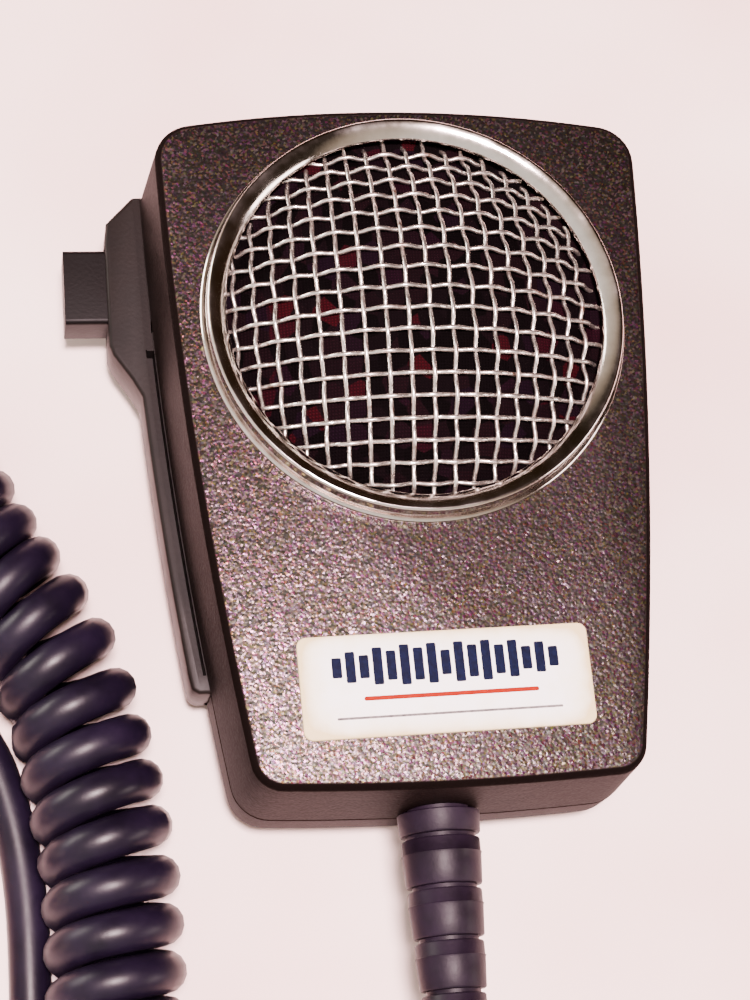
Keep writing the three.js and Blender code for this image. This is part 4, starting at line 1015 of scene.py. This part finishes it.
def printed(name, finish, marks):
    """Low printed marks on the plate, each (x, y, width, height, corner), joined as one piece."""
    made = []
    for x, y, width, height, radius in marks:
        outline = rounded(width, height, radius, 4, on_plate(x, y), PLATE_TURN)
        made.append(drawn_up(name, [(outline, PLATE_Z + 0.42), (outline, PLATE_Z + 0.525)]))
    deselect()
    for piece in made:
        piece.select_set(True)
    bpy.context.view_layer.objects.active = made[0]
    if len(made) > 1:
        bpy.ops.object.join()
    made[0].name = made[0].data.name = name
    return done(made[0], "case", finish, "plate_enamel")


def make_plate():
    """The cream plate: a softened edge, and a plain print of level bars, a red rule and a line."""
    levels = []
    for i in range(4):
        angle = math.pi / 2 * i / 3
        shrink = 0.22 * (1 - math.cos(angle))
        size = (37.6 - 2 * shrink, 13.2 - 2 * shrink, 1.2 - shrink)
        levels.append((rounded(*size, 8, (0, PLATE_Y), PLATE_TURN), PLATE_Z + 0.28 + 0.22 * math.sin(angle)))
    levels.insert(0, (levels[0][0], PLATE_Z))
    plate = drawn_up("name_plate_enamel", levels)
    smooth(plate, 50)
    done(plate, "case", "lacquered_cream_plate", "plate_enamel", "name_plate")
    heights = [2.6, 4.0, 3.0, 4.8, 3.8, 5.2, 4.2, 5.2, 3.2, 5.2, 4.2, 5.2, 3.8, 4.8, 3.0, 4.0, 2.6]
    bars = [((i - 8) * 1.75, 2.4, 1.25, height, 0.2) for i, height in enumerate(heights)]
    printed("plate_level_bars", "navy_ink", bars)
    printed("plate_red_rule", "red_ink", [(0.4, -1.7, 22.5, 0.55, 0.25)])
    printed("plate_grey_line", "grey_ink", [(0, -4.1, 29, 0.3, 0.14)])


# ---------------------------------------------------------------- Strain relief
def make_strain_relief():
    """The moulded sleeve: a taper of wide bands, each with a narrow cut and a collar before it."""
    foot = BOTTOM_Y - FLARE - 0.1
    length, wide, tip, rings = 36, 5.4, 3.6, 5
    pitch = length / (rings + 0.5)

    def radius(along):
        return wide + (tip - wide) * along / length

    profile = [(0, -4.4), (5, -4.4), (5, -2.9), (4, -2.9), (4, 0), (wide - 0.15, 0), (wide, 0.15)]
    for ring in range(rings):
        along = pitch * (ring + 0.45)
        profile += [
            (radius(along - 0.25), along - 0.25), (radius(along) - 0.12, along - 0.05),
            (radius(along) - 0.75, along + 0.05), (radius(along) - 0.75, along + 0.5),
            (radius(along) - 0.25, along + 0.62), (radius(along) - 0.14, along + 0.8),
            (radius(along) - 0.14, along + 2.3), (radius(along) - 0.02, along + 2.45),
            (radius(along + 2.7) + 0.02, along + 2.7), (radius(along + 4) + 0.02, along + 4),
        ]
    profile += [(tip, length - 0.5), (tip - 0.35, length - 0.08), (tip - 0.6, length), (0, length)]
    sleeve = turned("cord_strain_relief", (0, foot, CORD_Z), "y", [(r, -a) for r, a in profile], 48)
    smooth(sleeve, 40)
    return done(sleeve, "case", "moulded_black_rubber", "soft_rubber", "strain_relief")


# ---------------------------------------------------------------- Plug
PLUG = (-81.7, -54.6, 9.6)


def ridge(piece, axis_place, inner, count, depth, wanted):
    """Presses every other row of points in, for a knurl about the Y axis."""
    work_on(piece)
    mesh = bmesh.from_edit_mesh(piece.data)
    middle = at(*axis_place)
    for vertex in mesh.verts:
        offset = vertex.co - middle
        reach = math.hypot(offset.x, offset.z)
        along = offset.y / MM
        if reach > inner * MM and wanted(along):
            place = math.atan2(offset.z, offset.x) / (2 * math.pi) * count
            if round(place) % 2:
                vertex.co.x -= offset.x / reach * depth * MM
                vertex.co.z -= offset.z / reach * depth * MM
    bmesh.update_edit_mesh(piece.data)
    deselect()


def make_plug():
    """The screw-on plug: a necked shell, a knurled coupling ring that turns on it, and the insert."""
    neck = CORD_DIAMETER / 2
    shell = turned(
        "plug_body", PLUG, "y",
        [(r, -a) for r, a in [
            (neck + 0.3, 0), (neck + 1.4, 0), (neck + 1.6, 0.2), (neck + 1.95, 1), (neck + 2, 1.3),
            (neck + 2, 6), (6.9, 8.7), (7.1, 9), (7.2, 9.4), (7.2, 12), (7.6, 12.4), (7.8, 12.6),
            (7.8, 25), (6.8, 25),
            (6.8, 11), (neck + 0.3, 8), (neck + 0.3, 0),
        ]], 64,
    )
    smooth(shell, 35)
    done(shell, "case", "nickel_plated_brass", "plug_nickel", "plug_shell")
    start, length, inside, outside = 15, 13, 8.15, 9.4
    # Each end has a chamfer, a bead and a narrow groove; (how far in, how far from the end).
    end = [(outside - inside, 0), (0.55, 0), (0.1, 0.5), (0.1, 1.1), (0.35, 1.25), (0.35, 1.7), (0, 1.9)]
    profile = [(outside - deep, start + along) for deep, along in end] + [(outside, start + 6)]
    profile += [(outside - deep, start + length - along) for deep, along in reversed(end)]
    profile.append((inside, start))
    ring = turned("plug_coupling_ring", PLUG, "y", [(r, -a) for r, a in profile], 120)
    ridge(ring, PLUG, 9.2, 120, 0.28, lambda along: -(start + length - 1.85) < along < -(start + 1.85))
    smooth(ring, 30)
    done(ring, "coupling_ring", "nickel_plated_brass", "plug_nickel", "plug_ring")
    insert = copy_of("plug_insert", "plug_socket_insert")
    round_edges(insert, 0.15, 2, 40)
    smooth(insert, 35)
    done(insert, "case", "brown_phenolic", "brown_plastic", "plug_insert")
    screws = []
    for side, number in ((-1, 1), (1, 2)):
        head = copy_of(f"plug_clamp_screw_{number}", f"plug_clamp_screw_head_{number}")
        round_edges(head, 0.2, 2, 40)
        smooth(head, 35)
        screws.append(done(head, "case", "zinc_plated_steel", "plated_steel", f"plug_clamp_screw_{number}"))
    return [shell, ring, insert, *screws]


# ---------------------------------------------------------------- Back
def cross_screw(name, place, head, height, shank, length, node):
    """A screw with a domed head and a cross recess, its head facing the back."""
    x, y, z = place
    profile = [(0, 0), (head * 0.55, 0.05), (head * 0.82, height * 0.25), (head, height * 0.7)]
    profile += [(head, height), (shank, height), (shank, length - 0.8), (shank * 0.4, length), (0, length)]
    screw = turned(name, (x, y, z), "z", profile, 40)
    for turn in (0, 1):
        wide, narrow = head * 0.62, head * 0.13
        sx, sy = (wide, narrow) if turn else (narrow, wide)
        cut_away(screw, block("recess_tool", (x - sx, y - sy, z - 0.4), (x + sx, y + sy, z + height * 0.62)))
    smooth(screw, 40)
    return done(screw, "case", "zinc_plated_steel", "plated_steel", node)


def make_back():
    """What is on the back: the battery cover, the hanger stud, their screws and the case screws."""
    cover = copy_of("battery_cover", "battery_cover_lid")
    round_edges(cover, 0.45, 3, 50)
    smooth(cover, 35)
    done(cover, "case", "pebbled_metallic_paint", "case_paint", "battery_cover")
    stud = turned(
        "hanger_button", (0, STUD_Y, 0), "z",
        [(1.6, 2.5), (2.9, 2.5), (2.9, 0.35), (3.1, 0.12), (3.4, 0), (5.9, 0), (6.2, 0.08), (6.42, 0.3),
         (6.5, 0.6), (6.5, 1.5), (6.4, 1.8), (6.1, 2), (3.7, 2), (3.5, 2.2), (3.5, 4.4), (1.6, 4.4),
         (1.6, 2.5)], 72,
    )
    smooth(stud, 40)
    done(stud, "case", "zinc_plated_steel", "plated_steel", "hanger_stud")
    cross_screw("hanger_fixing_screw", (0, STUD_Y, 0.3), 2.5, 1.1, 1.25, 8.3, "hanger_screw")
    for i, (x, y) in enumerate(COVER_SCREWS):
        name = f"cover_fixing_screw_{i + 1}"
        cross_screw(name, (x, y, 0.3), 1.7, 1.0, 0.75, 6.7, f"cover_screw_{i + 1}")
    for i, (x, y) in enumerate(CASE_SCREWS):
        name = f"case_fixing_screw_{i + 1}"
        cross_screw(name, (x, y, BACK_Z + 0.3), 2.4, 1.4, 1.3, 12.7, f"case_screw_{i + 1}")
    # Half of the wheel's section: (how far in from its rim, how far from its middle).
    side = [(0, 1.2), (0.3, 1.5), (1, 1.5), (1.2, 1.7), (WHEEL_RADIUS, 1.7)]
    profile = [(WHEEL_RADIUS - deep, 1.7 - off) for deep, off in reversed(side)]
    profile += [(WHEEL_RADIUS - deep, 1.7 + off) for deep, off in side]
    wheel = turned("gain_thumb_wheel", (WHEEL_X - 1.7, WHEEL_Y, WHEEL_Z), "x", profile, WHEEL_STEPS)
    work_on(wheel)
    mesh = bmesh.from_edit_mesh(wheel.data)
    middle = at(WHEEL_X, WHEEL_Y, WHEEL_Z)
    for vertex in mesh.verts:
        offset = vertex.co - middle
        reach = math.hypot(offset.y, offset.z)
        place = round(math.atan2(offset.z, offset.y) / (2 * math.pi) * WHEEL_STEPS)
        if reach > (WHEEL_RADIUS - 0.35) * MM and place % 4 in (0, 3):
            vertex.co.y -= offset.y / reach * 0.4 * MM
            vertex.co.z -= offset.z / reach * 0.4 * MM
    bmesh.update_edit_mesh(wheel.data)
    deselect()
    weld_on(wheel, bar("wheel_shaft_tool", "x", (WHEEL_X - 6.2, WHEEL_Y, WHEEL_Z), 5, 1.5))
    smooth(wheel, 30)
    done(wheel, "gain", "moulded_black_plastic", "part_black", "gain_wheel")


# ---------------------------------------------------------------- Room
def make_room():
    """A pale sheet under the microphone, a soft overhead light, and weaker ones from the sides."""
    deselect()
    bpy.ops.mesh.primitive_plane_add(size=3, location=(0, 0, 0))
    sheet = bpy.context.object
    sheet.name = "table_sheet"
    wear_finish(sheet, "pale_table_sheet")
    world = bpy.data.worlds.new("soft_room")
    bpy.context.scene.world = world
    world.use_nodes = True
    ground = world.node_tree
    ground.nodes.clear()
    way = add(ground, "SeparateXYZ", (add(ground, "TexCoord").outputs["Generated"],))
    # Dark to the right and behind, where the ring's left and lower faces look; pale to the left.
    side = add(ground, "Math", (way.outputs["X"], -0.55, 0.5), operation="MULTIPLY_ADD")
    side = add(ground, "Math", (way.outputs["Y"], -0.45, side), operation="MULTIPLY_ADD")
    shades = (0.0, "#2a1c10"), (0.34, "#241d12"), (0.5, "#b3a18f"), (0.7, "#dccdbe"), (0.95, "#fff6ee")
    shade = add(ground, "ValToRGB", (side,), shades)
    add(ground, "OutputWorld", {"Surface": add(ground, "Background", {"Color": shade, "Strength": 1.3})})
    for name, place, size, power, colour in (
        ("key_softbox", (-0.06, -0.12, 0.95), (0.16, 0.14), 46, "#ffdfe2"),
        ("left_softbox", (-0.95, 0.55, 0.3), (0.5, 0.3), 12, "#fff6ee"),
        ("right_softbox", (0.95, -0.35, 0.42), (0.5, 0.3), 6, "#ffe9e4"),
    ):
        light = bpy.data.lights.new(name, "AREA")
        light.shape = "RECTANGLE"
        light.size, light.size_y = size
        light.energy = power
        light.color = srgb(colour)[:3]
        lamp = bpy.data.objects.new(name, light)
        bpy.context.scene.collection.objects.link(lamp)
        lamp.location = place
        lamp.rotation_euler = Vector(place).to_track_quat("Z", "Y").to_euler()


make_room()
for entry in frame["record"]["subparts"]:
    wear_finish(frame["nodes"][entry["node"]], SLOT_FINISH[entry["material_slot"]])
make_front_shell()
make_rear_shell()
make_bezel()
make_button()
make_ring()
make_screen()
make_wire_cloth()
make_plate()
relief = make_strain_relief()
plug = make_plug()
make_back()
